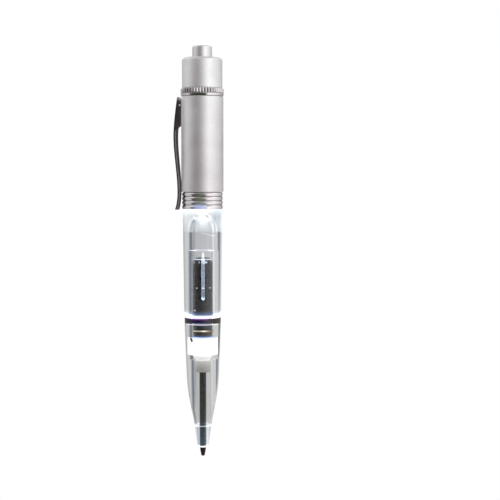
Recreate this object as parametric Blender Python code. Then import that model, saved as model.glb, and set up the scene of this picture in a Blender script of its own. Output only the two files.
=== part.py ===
# Light-up twist pen: a metal barrel with three button cells and a lamp, a clear light guide,
# a clear front that turns, and a refill that a cam draws in. Metres, +Z up.
# The origin is the writing point, on the pen's axis. The clip is on the -X side.

from math import cos, pi, radians, sin

import bmesh
import bpy
from mathutils import Matrix, Vector

# Sides of the turned pieces, and the gaps between neighbours
ROUND_SIDES = 32
INNER_SIDES = 24
SMALL_SIDES = 16
SEAT_GAP = 0.0001
FIT_GAP = 0.00005
RUNNING_GAP = 0.0001
MERGE_DISTANCE = 1e-7
SHARP_EDGE_DEGREES = 35
FILLET_STEPS = 4
DOME_STEPS = 5
BALL_STEPS = 8

# Visible lengths along the axis, from the writing point up
TIP_PROJECTION = 0.0033
CONE_LENGTH = 0.0420
JOINT_RING_HEIGHT = 0.0016
GUIDE_LENGTH = 0.0363
GROOVED_HEIGHT = 0.0053
KNURLED_HEIGHT = 0.0025
CAP_HEIGHT = 0.0100
BUTTON_PROUD = 0.0039

# Cells, their sleeve and the barrel round them
CELL_NAMES = ("battery_lower", "battery_middle", "battery_upper")
CELL_RADIUS = 0.0058
CELL_HEIGHT = 0.0054
CELL_CAP_RADIUS = 0.0046
CELL_CAP_HEIGHT = 0.0006
SLEEVE_WALL = 0.0003
BARREL_WALL = 0.0008
BARREL_CHAMFER = 0.0003
CONTACT_DEPTH = 0.0040

# Steps between neighbouring outer diameters
KNURL_PROUD = 0.00018
CAP_SHOULDER = 0.0006
GROOVED_STEP = 0.0002
GUIDE_STEP = 0.0002
GUIDE_TAPER = 0.00045
JOINT_STEP = 0.0001
CONE_STEP = 0.00005

# Knurled and grooved rings
KNURL_TEETH = 46
KNURL_DEPTH = 0.0002
KNURL_RIM = 0.0009
KNURL_CHAMFER = 0.0002
RIDGE_COUNT = 4
GROOVE_DEPTH = 0.00035
RIDGE_FLAT = 0.5
RING_WALL = 0.0015
RING_SPIGOT_LENGTH = 0.0030

# Tail cap, button and switch
CAP_FILLET = 0.0011
CAP_TOP_WALL = 0.0014
CAP_LEDGE = 0.0004
SPIGOT_WALL = 0.00095
SPIGOT_CLEARANCE = 0.0013
BUTTON_CHAMBER = 0.0052
BUTTON_RADIUS = 0.00327
BUTTON_EDGE = 0.0005
BUTTON_FLANGE = 0.0013
BUTTON_STEM_RADIUS = 0.0024
SWITCH_FLOOR = 0.0012
SWITCH_WALL = 0.0012
CONTACT_HEAD_RADIUS = 0.0022
CONTACT_HEAD = 0.0005
CONTACT_SHANK_RADIUS = 0.0011
CONTACT_PROUD = 0.0010
RETAINER_HEIGHT = 0.0014
RETAINER_BORE = 0.0030
PLUNGER_HEIGHT = 0.0046

# Springs: wire radius, coil radius, free height and turns
WIRE_RADIUS = 0.00018
BUTTON_SPRING_HEIGHT = 0.0034
BUTTON_SPRING_RADIUS = 0.0025
BUTTON_SPRING_TURNS = 3
TAIL_SPRING_HEIGHT = 0.0029
TAIL_SPRING_RADIUS = 0.0022
TAIL_SPRING_TURNS = 2.5
LED_SPRING_HEIGHT = 0.0026
LED_SPRING_BASE = 0.0036
LED_SPRING_TOP = 0.0022
LED_SPRING_TURNS = 2.5
CURL_POINTS = 10

# Lamp, its holder and its board
LED_RADIUS = 0.0024
LED_FLANGE_RADIUS = 0.0028
LED_FLANGE = 0.0010
LED_DROP = 0.0003
LEAD_SPACING = 0.00254
LEAD_WIDTH = 0.0005
LEAD_PROUD = 0.0004
LEAD_HOLE_RADIUS = 0.00045
HOLDER_FLANGE = 0.0010
HOLDER_BORE = 0.0020
BOARD_THICKNESS = 0.0010
BOARD_EDGE_GAP = 0.0002

# Light guide
GUIDE_SPIGOT_LENGTH = 0.0037
GUIDE_WEB = 0.0011
BULLET_LENGTH = 0.0064
BULLET_STEPS = 6
BORE_STEP = 0.00042
GUIDE_AIR_GAP = 0.00055
GUIDE_FOOT_WALL = 0.00062
STEP_CLEARANCE = 0.0025
RIB_WIDTH = 0.0013
RIB_OVERLAP = 0.0128
RIB_DIP = 0.00022
RIB_END_STEPS = 6
SLOT_GAP = 0.00015
CENTRING_HEIGHT = 0.0018

# Twist mechanism
MECHANISM_REACH = 0.0189
TWIST_TRAVEL = 0.0050
TWIST_TURN = pi
HOUSING_WALL = 0.00077
HOUSING_NECK_DEPTH = 0.0046
HOUSING_NECK_STEP = 0.00007
CAM_WALL = 0.00045
CAM_SEAT = 0.0049
COLLAR_HEIGHT = 0.0009
COLLAR_CHAMFER = 0.0004
PIN_RADIUS = 0.0004
PIN_MARGIN = 0.0012
PIN_INSET = 0.0016
CAM_SLOT_HEIGHT = 0.0015
CAM_SLOT_STEPS = 24
CARRIER_WALL = 0.00056
CARRIER_LENGTH = 0.0070
SOCKET_DEPTH = 0.0038
FRICTION_RING_HEIGHT = 0.0006
FRICTION_RING_DROP = 0.0022
FRICTION_GROOVE = 0.0003

# Front cone and twist driver
DRIVER_STEP = 0.0003
DRIVER_LENGTH = 0.0060
DRIVER_NECK = 0.0018
BOSS_LENGTH = 0.0039
BOSS_STEP = 0.00035
BOSS_CHAMFER = 0.0003
CONE_BORE_STEP = 0.0003
CONE_SHOULDER_HEIGHT = 0.0252
CONE_SHOULDER_STEP = 0.00062
CONE_CURVE_STEPS = 8
CONE_UPPER_REACH = 0.45
CONE_LOWER_REACH = 0.225
NOSE_HEIGHT = 0.0073
NOSE_WALL = 0.00063
NOSE_LEDGE = 0.0006
THROAT_HEIGHT = 0.0052
MOUTH_WALL = 0.0006

# Refill
REFILL_RADIUS = 0.00119
REFILL_WALL = 0.0004
REFILL_FOOT_RISE = 0.0003
INK_GAP = 0.00008
INK_HEADSPACE = 0.0090
TIP_RADIUS = 0.0010
TIP_CONE_TOP = 0.0029
TIP_CLEARANCE = 0.0003
TIP_SHANK = 0.0034
TIP_RIM = 0.00006
TIP_CHANNEL = 0.0002
BALL_RADIUS = 0.00035
BALL_GAP = 0.00005

# Clip: how far its outer face stands off the barrel, and its heights below the barrel's mouth
CLIP_TOP_DROP = 0.0003
CLIP_CREST_DROP = 0.0130
CLIP_WAIST_DROP = 0.0317
CLIP_LENGTH = 0.0371
CLIP_TOP_STAND = 0.0012
CLIP_CREST_STAND = 0.00267
CLIP_WAIST_STAND = 0.0013
CLIP_TIP_STAND = 0.0020
CLIP_DEPTH = 0.00135
CLIP_WAIST_DEPTH = 0.00115
CLIP_SKIN = 0.00055
CLIP_CHEEK_HEIGHT = 0.0096
CLIP_CHEEK_SLANT = 0.0008
CLIP_HEAD_WIDTH = 0.0050
CLIP_TIP_WIDTH = 0.0038
CLIP_BARREL_GAP = 0.00015
CLIP_HEAD_CURVE = 1.5
CLIP_STEPS = 6
TONGUE_DROP = 0.0011
TONGUE_THICKNESS = 0.0006
TONGUE_WIDTH = 0.0024
TONGUE_GAP = 0.0002
TONGUE_BITE = 0.0004

# Heights worked out from the lengths above
MOUTH_Z = TIP_PROJECTION
CONE_TOP_Z = MOUTH_Z + CONE_LENGTH
JOINT_RING_Z = CONE_TOP_Z + RUNNING_GAP
GUIDE_Z = JOINT_RING_Z + JOINT_RING_HEIGHT + SEAT_GAP
GUIDE_TOP_Z = GUIDE_Z + GUIDE_LENGTH
GROOVED_Z = GUIDE_TOP_Z + SEAT_GAP
BARREL_Z = GROOVED_Z + GROOVED_HEIGHT + SEAT_GAP
HOLDER_Z = BARREL_Z + RING_SPIGOT_LENGTH + SEAT_GAP
BOARD_Z = HOLDER_Z + HOLDER_FLANGE + SEAT_GAP
LED_SPRING_Z = BOARD_Z + BOARD_THICKNESS + SEAT_GAP
CELL_Z = LED_SPRING_Z + LED_SPRING_HEIGHT + SEAT_GAP
CELL_PITCH = CELL_HEIGHT + SEAT_GAP
TAIL_SPRING_Z = CELL_Z + len(CELL_NAMES) * CELL_PITCH
CONTACT_Z = TAIL_SPRING_Z + TAIL_SPRING_HEIGHT + SEAT_GAP
BARREL_TOP_Z = CONTACT_Z + CONTACT_DEPTH
KNURLED_Z = BARREL_TOP_Z + SEAT_GAP
CAP_Z = KNURLED_Z + KNURLED_HEIGHT + SEAT_GAP
CAP_TOP_Z = CAP_Z + CAP_HEIGHT
BUTTON_TOP_Z = CAP_TOP_Z + BUTTON_PROUD
SPIGOT_Z = TAIL_SPRING_Z + SPIGOT_CLEARANCE
SWITCH_Z = CONTACT_Z + CONTACT_HEAD + SEAT_GAP
SWITCH_FLOOR_Z = SWITCH_Z + SWITCH_FLOOR
CHAMBER_TOP_Z = CAP_TOP_Z - CAP_TOP_WALL
LEDGE_Z = CHAMBER_TOP_Z - BUTTON_CHAMBER
PLUNGER_Z = SWITCH_FLOOR_Z + SEAT_GAP + BUTTON_SPRING_HEIGHT + SEAT_GAP
PLUNGER_TOP_Z = PLUNGER_Z + PLUNGER_HEIGHT
GUIDE_SPIGOT_Z = GUIDE_TOP_Z + GUIDE_SPIGOT_LENGTH
LED_Z = GUIDE_SPIGOT_Z + SEAT_GAP
POCKET_Z = GUIDE_TOP_Z - LED_DROP
HOUSING_Z = CONE_TOP_Z - HOUSING_NECK_DEPTH
HOUSING_TOP_Z = GUIDE_Z + MECHANISM_REACH
COLLAR_Z = HOUSING_TOP_Z + RUNNING_GAP
COLLAR_TOP_Z = COLLAR_Z + COLLAR_HEIGHT
BORE_STEP_Z = COLLAR_TOP_Z + STEP_CLEARANCE
PIN_Z = HOUSING_TOP_Z - PIN_MARGIN - TWIST_TRAVEL
CARRIER_TOP_Z = PIN_Z + PIN_INSET
CARRIER_Z = CARRIER_TOP_Z - CARRIER_LENGTH
REFILL_TOP_Z = CARRIER_Z + SOCKET_DEPTH - SEAT_GAP
DRIVER_TOP_Z = HOUSING_Z - RUNNING_GAP
DRIVER_Z = DRIVER_TOP_Z - DRIVER_LENGTH
CAM_Z = DRIVER_TOP_Z - CAM_SEAT + SEAT_GAP
POCKET_FLOOR_Z = DRIVER_Z - SEAT_GAP
NOSE_Z = MOUTH_Z + NOSE_HEIGHT
REFILL_FOOT_Z = NOSE_Z + REFILL_FOOT_RISE
CLIP_PIVOT_Z = BARREL_TOP_Z - TONGUE_DROP

# Radii worked out outwards from the cells, and outwards from the refill
SLEEVE_BORE = CELL_RADIUS + FIT_GAP
SLEEVE_RADIUS = SLEEVE_BORE + SLEEVE_WALL
BARREL_BORE = SLEEVE_RADIUS + FIT_GAP
BARREL_RADIUS = BARREL_BORE + BARREL_WALL
SPIGOT_RADIUS = BARREL_BORE - RUNNING_GAP
CAP_RADIUS = SPIGOT_RADIUS + CAP_SHOULDER
CAP_BORE = SPIGOT_RADIUS - SPIGOT_WALL
CHAMBER_RADIUS = CAP_BORE - CAP_LEDGE
SWITCH_RADIUS = CAP_BORE - RUNNING_GAP
KNURL_RADIUS = BARREL_RADIUS + KNURL_PROUD
GROOVED_RADIUS = BARREL_RADIUS - GROOVED_STEP
RING_BORE = GROOVED_RADIUS - RING_WALL
GUIDE_TOP_RADIUS = GROOVED_RADIUS - GUIDE_STEP
GUIDE_FOOT_RADIUS = GUIDE_TOP_RADIUS - GUIDE_TAPER
JOINT_RING_RADIUS = GUIDE_FOOT_RADIUS - JOINT_STEP
CONE_TOP_RADIUS = JOINT_RING_RADIUS - CONE_STEP
SOCKET_RADIUS = REFILL_RADIUS + RUNNING_GAP
CARRIER_RADIUS = SOCKET_RADIUS + CARRIER_WALL
CAM_BORE = CARRIER_RADIUS + RUNNING_GAP
CAM_RADIUS = CAM_BORE + CAM_WALL
HOUSING_BORE = CAM_RADIUS + RUNNING_GAP
HOUSING_RADIUS = HOUSING_BORE + HOUSING_WALL
NECK_RADIUS = HOUSING_RADIUS - HOUSING_NECK_STEP
COUNTERBORE_RADIUS = HOUSING_RADIUS + GUIDE_AIR_GAP
GUIDE_BORE = COUNTERBORE_RADIUS - BORE_STEP
GUIDE_FOOT_SPIGOT = COUNTERBORE_RADIUS + GUIDE_FOOT_WALL
DRIVER_RADIUS = NECK_RADIUS + DRIVER_STEP
POCKET_RADIUS = DRIVER_RADIUS + FIT_GAP
CONE_BORE = POCKET_RADIUS - CONE_BORE_STEP
BOSS_RADIUS = CONE_BORE - RUNNING_GAP - BOSS_STEP
MOUTH_BORE = TIP_RADIUS + TIP_CLEARANCE
MOUTH_RADIUS = MOUTH_BORE + MOUTH_WALL
NOSE_BORE = MOUTH_BORE + TIP_CLEARANCE
THROAT_RADIUS = NOSE_BORE + NOSE_LEDGE
NOSE_RADIUS = THROAT_RADIUS + NOSE_WALL
REFILL_BORE = REFILL_RADIUS - REFILL_WALL
SHANK_RADIUS = REFILL_BORE - INK_GAP
RIB_INNER = HOUSING_RADIUS - RIB_DIP
PIN_END = RIB_INNER - RUNNING_GAP
COLLAR_RADIUS = RIB_INNER - RUNNING_GAP


def clear_scene():
    for item in list(bpy.data.objects):
        bpy.data.objects.remove(item, do_unlink=True)


def finish(name, colour, roughness, metallic):
    material = bpy.data.materials.new(name)
    material.use_nodes = True
    shader = material.node_tree.nodes["Principled BSDF"]
    shader.inputs["Base Color"].default_value = (*colour, 1.0)
    shader.inputs["Roughness"].default_value = roughness
    shader.inputs["Metallic"].default_value = metallic
    material.diffuse_color = (*colour, 1.0)
    return material


def joint_empty(name, place):
    empty = bpy.data.objects.new(name, None)
    empty.location = place
    bpy.context.collection.objects.link(empty)
    return empty


def hang(piece, empty):
    piece.parent = empty
    piece.matrix_parent_inverse = Matrix.Translation(empty.location).inverted()


def add_mesh(name, bm, material):
    bmesh.ops.remove_doubles(bm, verts=bm.verts, dist=MERGE_DISTANCE)
    bmesh.ops.recalc_face_normals(bm, faces=bm.faces)
    mesh = bpy.data.meshes.new(name)
    bm.to_mesh(mesh)
    bm.free()
    mesh.shade_smooth()
    mesh.set_sharp_from_angle(angle=radians(SHARP_EDGE_DEGREES))
    piece = bpy.data.objects.new(name, mesh)
    bpy.context.collection.objects.link(piece)
    if material is not None:
        mesh.materials.append(material)
    return piece


def turned_bmesh(outline, sides):
    # Points are (radius, height). An outline that starts and ends on the axis is left open there.
    bm = bmesh.new()
    ring = [bm.verts.new((radius, 0.0, height)) for radius, height in outline]
    edges = [bm.edges.new(pair) for pair in zip(ring, ring[1:])]
    if outline[0][0] > 0 or outline[-1][0] > 0:
        edges.append(bm.edges.new((ring[-1], ring[0])))
    bmesh.ops.spin(
        bm,
        geom=ring + edges,
        cent=(0, 0, 0),
        axis=(0, 0, 1),
        angle=2 * pi,
        steps=sides,
        use_merge=True,
    )
    return bm


def turned(name, outline, material, sides=ROUND_SIDES):
    return add_mesh(name, turned_bmesh(outline, sides), material)


def rod_outline(radius, low, high):
    return [(0, low), (radius, low), (radius, high), (0, high)]


def tube(name, outer, bore, low, high, material, sides=ROUND_SIDES):
    return turned(name, [(bore, low), (outer, low), (outer, high), (bore, high)], material, sides)


def arc(centre, radius, start, end, steps):
    # Points of a round stretch, from one angle to another in degrees.
    points = []
    for step in range(steps + 1):
        angle = radians(start + (end - start) * step / steps)
        points.append((centre[0] + radius * cos(angle), centre[1] + radius * sin(angle)))
    return points


def bezier(points, steps):
    curve = []
    for step in range(1, steps):
        t = step / steps
        weights = ((1 - t) ** 3, 3 * t * (1 - t) ** 2, 3 * t * t * (1 - t), t**3)
        curve.append(tuple(sum(w * p[axis] for w, p in zip(weights, points)) for axis in (0, 1)))
    return curve


def box(name, low, high, material=None):
    bm = bmesh.new()
    bmesh.ops.create_cube(bm, size=1.0)
    low, high = Vector(low), Vector(high)
    bmesh.ops.scale(bm, vec=high - low, verts=bm.verts)
    bmesh.ops.translate(bm, vec=(low + high) / 2, verts=bm.verts)
    return add_mesh(name, bm, material)


def prism(name, outline, half_width, material=None):
    # A side outline of (x, z) points, drawn out across Y to a half width that depends on z.
    bm = bmesh.new()
    corners = [bm.verts.new((x, -half_width(z), z)) for x, z in outline]
    face = bm.faces.new(corners)
    drawn = bmesh.ops.extrude_face_region(bm, geom=[face])
    for item in drawn["geom"]:
        if isinstance(item, bmesh.types.BMVert):
            item.co.y = -item.co.y
    return add_mesh(name, bm, material)


def combine(piece, tool, operation):
    tool.hide_render = True
    tool.display_type = "WIRE"
    modifier = piece.modifiers.new(tool.name, "BOOLEAN")
    modifier.operation = operation
    modifier.solver = "EXACT"
    modifier.object = tool


def cut(piece, tool):
    combine(piece, tool, "DIFFERENCE")


def join(piece, tool):
    combine(piece, tool, "UNION")


def coil(name, base, height, start_radius, end_radius, turns, material):
    # One unbroken wire, whose lowest and highest points stay inside the given height.
    count = int(turns * CURL_POINTS)
    rise = height - 2 * WIRE_RADIUS
    points = []
    for step in range(count + 1):
        share = step / count
        angle = 2 * pi * turns * share
        radius = start_radius + (end_radius - start_radius) * share
        place = (radius * cos(angle), radius * sin(angle), base + WIRE_RADIUS + rise * share)
        points.append(Vector(place))
    half_turn = CURL_POINTS // 2
    gaps = [
        (points[b] - points[a]).length - 2 * WIRE_RADIUS
        for a in range(len(points))
        for b in range(a + half_turn, len(points))
    ]
    print(f"{name}: least gap to itself {min(gaps) * 1000:.2f} mm")
    curve = bpy.data.curves.new(name, "CURVE")
    curve.dimensions = "3D"
    curve.bevel_depth = WIRE_RADIUS
    curve.bevel_resolution = 1
    curve.use_fill_caps = True
    spline = curve.splines.new("POLY")
    spline.points.add(count)
    for point, place in zip(spline.points, points):
        point.co = (*place, 1.0)
    curve.materials.append(material)
    piece = bpy.data.objects.new(name, curve)
    bpy.context.collection.objects.link(piece)
    return piece


def make_button(metal, plastic, steel):
    flange_top = CHAMBER_TOP_Z - SEAT_GAP
    flange_radius = CHAMBER_RADIUS - 2 * RUNNING_GAP
    stem_z = PLUNGER_TOP_Z + SEAT_GAP
    edge = (BUTTON_RADIUS - BUTTON_EDGE, BUTTON_TOP_Z - BUTTON_EDGE)
    outline = [
        (0, stem_z),
        (BUTTON_STEM_RADIUS, stem_z),
        (BUTTON_STEM_RADIUS, flange_top - BUTTON_FLANGE),
        (flange_radius, flange_top - BUTTON_FLANGE),
        (flange_radius, flange_top),
        (BUTTON_RADIUS, flange_top),
        *arc(edge, BUTTON_EDGE, 0, 90, FILLET_STEPS),
        (0, BUTTON_TOP_Z),
    ]
    cavity = SWITCH_RADIUS - SWITCH_WALL
    plunger_outline = rod_outline(cavity - RUNNING_GAP, PLUNGER_Z, PLUNGER_TOP_Z)
    button = turned("push_button", outline, metal)
    plunger = turned("switch_plunger", plunger_outline, plastic, INNER_SIDES)
    spring = coil(
        "button_spring",
        SWITCH_FLOOR_Z + SEAT_GAP,
        BUTTON_SPRING_HEIGHT,
        BUTTON_SPRING_RADIUS,
        BUTTON_SPRING_RADIUS,
        BUTTON_SPRING_TURNS,
        steel,
    )
    axis = joint_empty("button_axis", (0, 0, CAP_TOP_Z))
    hang(button, axis)
    hang(plunger, axis)
    return spring


def make_tail_cap(metal, brass):
    fillet = (CAP_RADIUS - CAP_FILLET, CAP_TOP_Z - CAP_FILLET)
    hole = BUTTON_RADIUS + RUNNING_GAP
    outline = [
        (CAP_BORE, SPIGOT_Z),
        (SPIGOT_RADIUS, SPIGOT_Z),
        (SPIGOT_RADIUS, CAP_Z),
        (CAP_RADIUS, CAP_Z),
        *arc(fillet, CAP_FILLET, 0, 90, FILLET_STEPS),
        (hole, CAP_TOP_Z),
        (hole, CHAMBER_TOP_Z),
        (CHAMBER_RADIUS, CHAMBER_TOP_Z),
        (CHAMBER_RADIUS, LEDGE_Z),
        (CAP_BORE, LEDGE_Z),
    ]
    retainer_top = SWITCH_Z - SEAT_GAP
    retainer = tube(
        "switch_retainer",
        CAP_BORE - FIT_GAP,
        RETAINER_BORE,
        retainer_top - RETAINER_HEIGHT,
        retainer_top,
        brass,
        INNER_SIDES,
    )
    return turned("tail_cap", outline, metal), retainer


def make_knurled_ring(chrome):
    top = KNURLED_Z + KNURLED_HEIGHT
    bore = SPIGOT_RADIUS + FIT_GAP
    rim_top = KNURLED_Z + KNURL_RIM
    root = KNURL_RADIUS - KNURL_DEPTH
    outline = [
        (bore, KNURLED_Z),
        (root, KNURLED_Z),
        (KNURL_RADIUS, KNURLED_Z + KNURL_CHAMFER),
        (KNURL_RADIUS, rim_top - KNURL_CHAMFER),
        (root, rim_top),
        (KNURL_RADIUS, rim_top + KNURL_CHAMFER),
        (KNURL_RADIUS, top - KNURL_CHAMFER),
        (root, top),
        (bore, top),
    ]
    bm = turned_bmesh(outline, 2 * KNURL_TEETH)
    for corner in bm.verts:
        radius = corner.co.xy.length
        on_tooth = corner.co.z > rim_top + KNURL_CHAMFER / 2 and radius > root + KNURL_DEPTH / 2
        slot = round(corner.co.xy.angle_signed(Vector((1, 0))) / pi * KNURL_TEETH) % 2
        if on_tooth and slot:
            corner.co.xy = corner.co.xy * (root / radius)
    return add_mesh("knurled_ring", bm, chrome)


def make_switch(plastic, brass, steel):
    outer = SWITCH_RADIUS
    hole = CONTACT_SHANK_RADIUS + FIT_GAP
    top = LEDGE_Z - SEAT_GAP
    housing = [
        (hole, SWITCH_Z),
        (outer, SWITCH_Z),
        (outer, top),
        (outer - SWITCH_WALL, top),
        (outer - SWITCH_WALL, SWITCH_FLOOR_Z),
        (hole, SWITCH_FLOOR_Z),
    ]
    head_top = CONTACT_Z + CONTACT_HEAD
    shank_top = SWITCH_FLOOR_Z + CONTACT_PROUD
    contact = [
        (0, CONTACT_Z),
        (CONTACT_HEAD_RADIUS, CONTACT_Z),
        (CONTACT_HEAD_RADIUS, head_top),
        (CONTACT_SHANK_RADIUS, head_top),
        (CONTACT_SHANK_RADIUS, shank_top),
        (0, shank_top),
    ]
    spring = coil(
        "tail_spring",
        TAIL_SPRING_Z,
        TAIL_SPRING_HEIGHT,
        TAIL_SPRING_RADIUS,
        TAIL_SPRING_RADIUS,
        TAIL_SPRING_TURNS,
        steel,
    )
    body = turned("switch_housing", housing, plastic, INNER_SIDES)
    return body, turned("switch_contact", contact, brass, SMALL_SIDES), spring


def make_barrel(metal):
    lip = BARREL_RADIUS - BARREL_CHAMFER
    outline = [
        (BARREL_BORE, BARREL_Z),
        (lip, BARREL_Z),
        (BARREL_RADIUS, BARREL_Z + BARREL_CHAMFER),
        (BARREL_RADIUS, BARREL_TOP_Z - BARREL_CHAMFER),
        (lip, BARREL_TOP_Z),
        (BARREL_BORE, BARREL_TOP_Z),
    ]
    barrel = turned("upper_barrel", outline, metal)
    half_width = TONGUE_WIDTH / 2 + TONGUE_GAP
    half_height = TONGUE_THICKNESS / 2 + TONGUE_GAP
    slot = box(
        "tongue_slot_cutter",
        (-BARREL_RADIUS - BARREL_WALL, -half_width, CLIP_PIVOT_Z - half_height),
        (-BARREL_BORE + BARREL_WALL, half_width, CLIP_PIVOT_Z + half_height),
    )
    cut(barrel, slot)


def clip_stand(z):
    # How far the clip's outer face stands off the barrel at a height.
    crest = BARREL_TOP_Z - CLIP_CREST_DROP
    waist = BARREL_TOP_Z - CLIP_WAIST_DROP
    if z > crest:
        share = (z - crest) / (CLIP_CREST_DROP - CLIP_TOP_DROP)
        return CLIP_CREST_STAND - (CLIP_CREST_STAND - CLIP_TOP_STAND) * share**CLIP_HEAD_CURVE
    if z > waist:
        share = (crest - z) / (crest - waist)
        ease = 3 * share**2 - 2 * share**3
        return CLIP_CREST_STAND - (CLIP_CREST_STAND - CLIP_WAIST_STAND) * ease
    share = (waist - z) / (CLIP_TOP_DROP + CLIP_LENGTH - CLIP_WAIST_DROP)
    return CLIP_WAIST_STAND + (CLIP_TIP_STAND - CLIP_WAIST_STAND) * share**2


def clip_depth(z):
    # The channel is shallowest at the waist, where it comes closest to the barrel.
    waist = BARREL_TOP_Z - CLIP_WAIST_DROP
    share = min(1.0, abs(z - waist) / (CLIP_WAIST_DROP - CLIP_CREST_DROP))
    return CLIP_WAIST_DEPTH + (CLIP_DEPTH - CLIP_WAIST_DEPTH) * share


def make_clip(nickel):
    top = BARREL_TOP_Z - CLIP_TOP_DROP
    tip = top - CLIP_LENGTH
    crest = BARREL_TOP_Z - CLIP_CREST_DROP
    waist = BARREL_TOP_Z - CLIP_WAIST_DROP
    cheek = top - CLIP_CHEEK_HEIGHT
    stops = (top, cheek, crest, waist, tip)
    heights = [top]
    for high, low in zip(stops, stops[1:]):
        heights += [high + (low - high) * (step + 1) / CLIP_STEPS for step in range(CLIP_STEPS)]

    def half_width(z):
        share = (top - z) / CLIP_LENGTH
        return (CLIP_HEAD_WIDTH + (CLIP_TIP_WIDTH - CLIP_HEAD_WIDTH) * share) / 2

    def channel_half_width(z):
        return half_width(z) - CLIP_SKIN

    def outer(z):
        return -(BARREL_RADIUS + clip_stand(z))

    buried = -(BARREL_RADIUS - BARREL_WALL)
    outline = [(outer(z), z) for z in heights]
    outline += [(outer(z) + clip_depth(z), z) for z in reversed(heights) if z < cheek - CLIP_CHEEK_SLANT]
    outline += [(buried, cheek + CLIP_CHEEK_SLANT), (buried, top)]
    clip = prism("pocket_clip", outline, half_width, nickel)

    inside = [z for z in heights if tip + CLIP_SKIN < z < top - CLIP_SKIN]
    inside = [top - CLIP_SKIN, *inside, tip + CLIP_SKIN]
    channel = [(outer(z) + CLIP_SKIN, z) for z in inside]
    channel += [(0.0, tip + CLIP_SKIN), (0.0, top - CLIP_SKIN)]
    cut(clip, prism("clip_channel_cutter", channel, channel_half_width))

    clearance = BARREL_RADIUS + CLIP_BARREL_GAP
    saddle = rod_outline(clearance, tip - CLIP_SKIN, top + CLIP_SKIN)
    cut(clip, turned("clip_saddle_cutter", saddle, None))

    tongue = box(
        "clip_tongue_form",
        (outer(CLIP_PIVOT_Z) + CLIP_SKIN / 2, -TONGUE_WIDTH / 2, CLIP_PIVOT_Z - TONGUE_THICKNESS / 2),
        (-BARREL_RADIUS + TONGUE_BITE, TONGUE_WIDTH / 2, CLIP_PIVOT_Z + TONGUE_THICKNESS / 2),
    )
    join(clip, tongue)
    hang(clip, joint_empty("clip_axis", (-BARREL_RADIUS, 0, CLIP_PIVOT_Z)))


def make_cells(steel, insulator):
    for index, name in enumerate(CELL_NAMES):
        low = CELL_Z + index * CELL_PITCH
        high = low + CELL_HEIGHT
        outline = [
            (0, low),
            (CELL_CAP_RADIUS, low),
            (CELL_CAP_RADIUS, low + CELL_CAP_HEIGHT),
            (CELL_RADIUS, low + CELL_CAP_HEIGHT),
            (CELL_RADIUS, high),
            (0, high),
        ]
        turned(name, outline, steel, INNER_SIDES)
    sleeve_low = LED_SPRING_Z + SEAT_GAP
    sleeve_high = SPIGOT_Z - SEAT_GAP
    tube("battery_sleeve", SLEEVE_RADIUS, SLEEVE_BORE, sleeve_low, sleeve_high, insulator, INNER_SIDES)


def make_lamp(epoxy, plastic, board_green, steel, tin):
    dome = (0, POCKET_Z + LED_RADIUS + 2 * RUNNING_GAP)
    outline = [
        *arc(dome, LED_RADIUS, -90, 0, DOME_STEPS),
        (LED_RADIUS, LED_Z),
        (LED_FLANGE_RADIUS, LED_Z),
        (LED_FLANGE_RADIUS, LED_Z + LED_FLANGE),
        (0, LED_Z + LED_FLANGE),
    ]
    outline[0] = (0, outline[0][1])
    turned("led_lamp", outline, epoxy, SMALL_SIDES)

    body = RING_BORE - FIT_GAP
    flange = BARREL_BORE - RUNNING_GAP
    seat = LED_FLANGE_RADIUS + RUNNING_GAP
    seat_top = LED_Z + LED_FLANGE + RUNNING_GAP
    holder = [
        (seat, LED_Z),
        (body, LED_Z),
        (body, HOLDER_Z),
        (flange, HOLDER_Z),
        (flange, HOLDER_Z + HOLDER_FLANGE),
        (HOLDER_BORE, HOLDER_Z + HOLDER_FLANGE),
        (HOLDER_BORE, seat_top),
        (seat, seat_top),
    ]
    turned("led_holder", holder, plastic, INNER_SIDES)

    edge = BARREL_BORE - BOARD_EDGE_GAP
    board_top = BOARD_Z + BOARD_THICKNESS
    board = turned("led_board", rod_outline(edge, BOARD_Z, board_top), board_green, INNER_SIDES)
    half = LEAD_WIDTH / 2
    for name, side in (("led_anode_lead", -1), ("led_cathode_lead", 1)):
        x = side * LEAD_SPACING / 2
        low = LED_Z + LED_FLANGE + SEAT_GAP
        box(name, (x - half, -half, low), (x + half, half, board_top + LEAD_PROUD), tin)
        hole = rod_outline(LEAD_HOLE_RADIUS, BOARD_Z - BOARD_THICKNESS, board_top + BOARD_THICKNESS)
        drill = turned(name + "_hole_cutter", hole, None, SMALL_SIDES)
        drill.location.x = x
        cut(board, drill)
    coil(
        "led_contact_spring",
        LED_SPRING_Z,
        LED_SPRING_HEIGHT,
        LED_SPRING_BASE,
        LED_SPRING_TOP,
        LED_SPRING_TURNS,
        steel,
    )


def make_grooved_ring(chrome):
    spigot = BARREL_BORE - FIT_GAP
    pitch = GROOVED_HEIGHT / RIDGE_COUNT
    root = GROOVED_RADIUS - GROOVE_DEPTH
    outline = [(RING_BORE, GROOVED_Z), (root, GROOVED_Z)]
    for ridge in range(RIDGE_COUNT):
        middle = GROOVED_Z + (ridge + 0.5) * pitch
        outline.append((GROOVED_RADIUS, middle - RIDGE_FLAT * pitch / 2))
        outline.append((GROOVED_RADIUS, middle + RIDGE_FLAT * pitch / 2))
        outline.append((root, middle + pitch / 2))
    outline += [
        (spigot, GROOVED_Z + GROOVED_HEIGHT),
        (spigot, BARREL_Z + RING_SPIGOT_LENGTH),
        (RING_BORE, BARREL_Z + RING_SPIGOT_LENGTH),
    ]
    turned("grooved_ring", outline, chrome)


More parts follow.
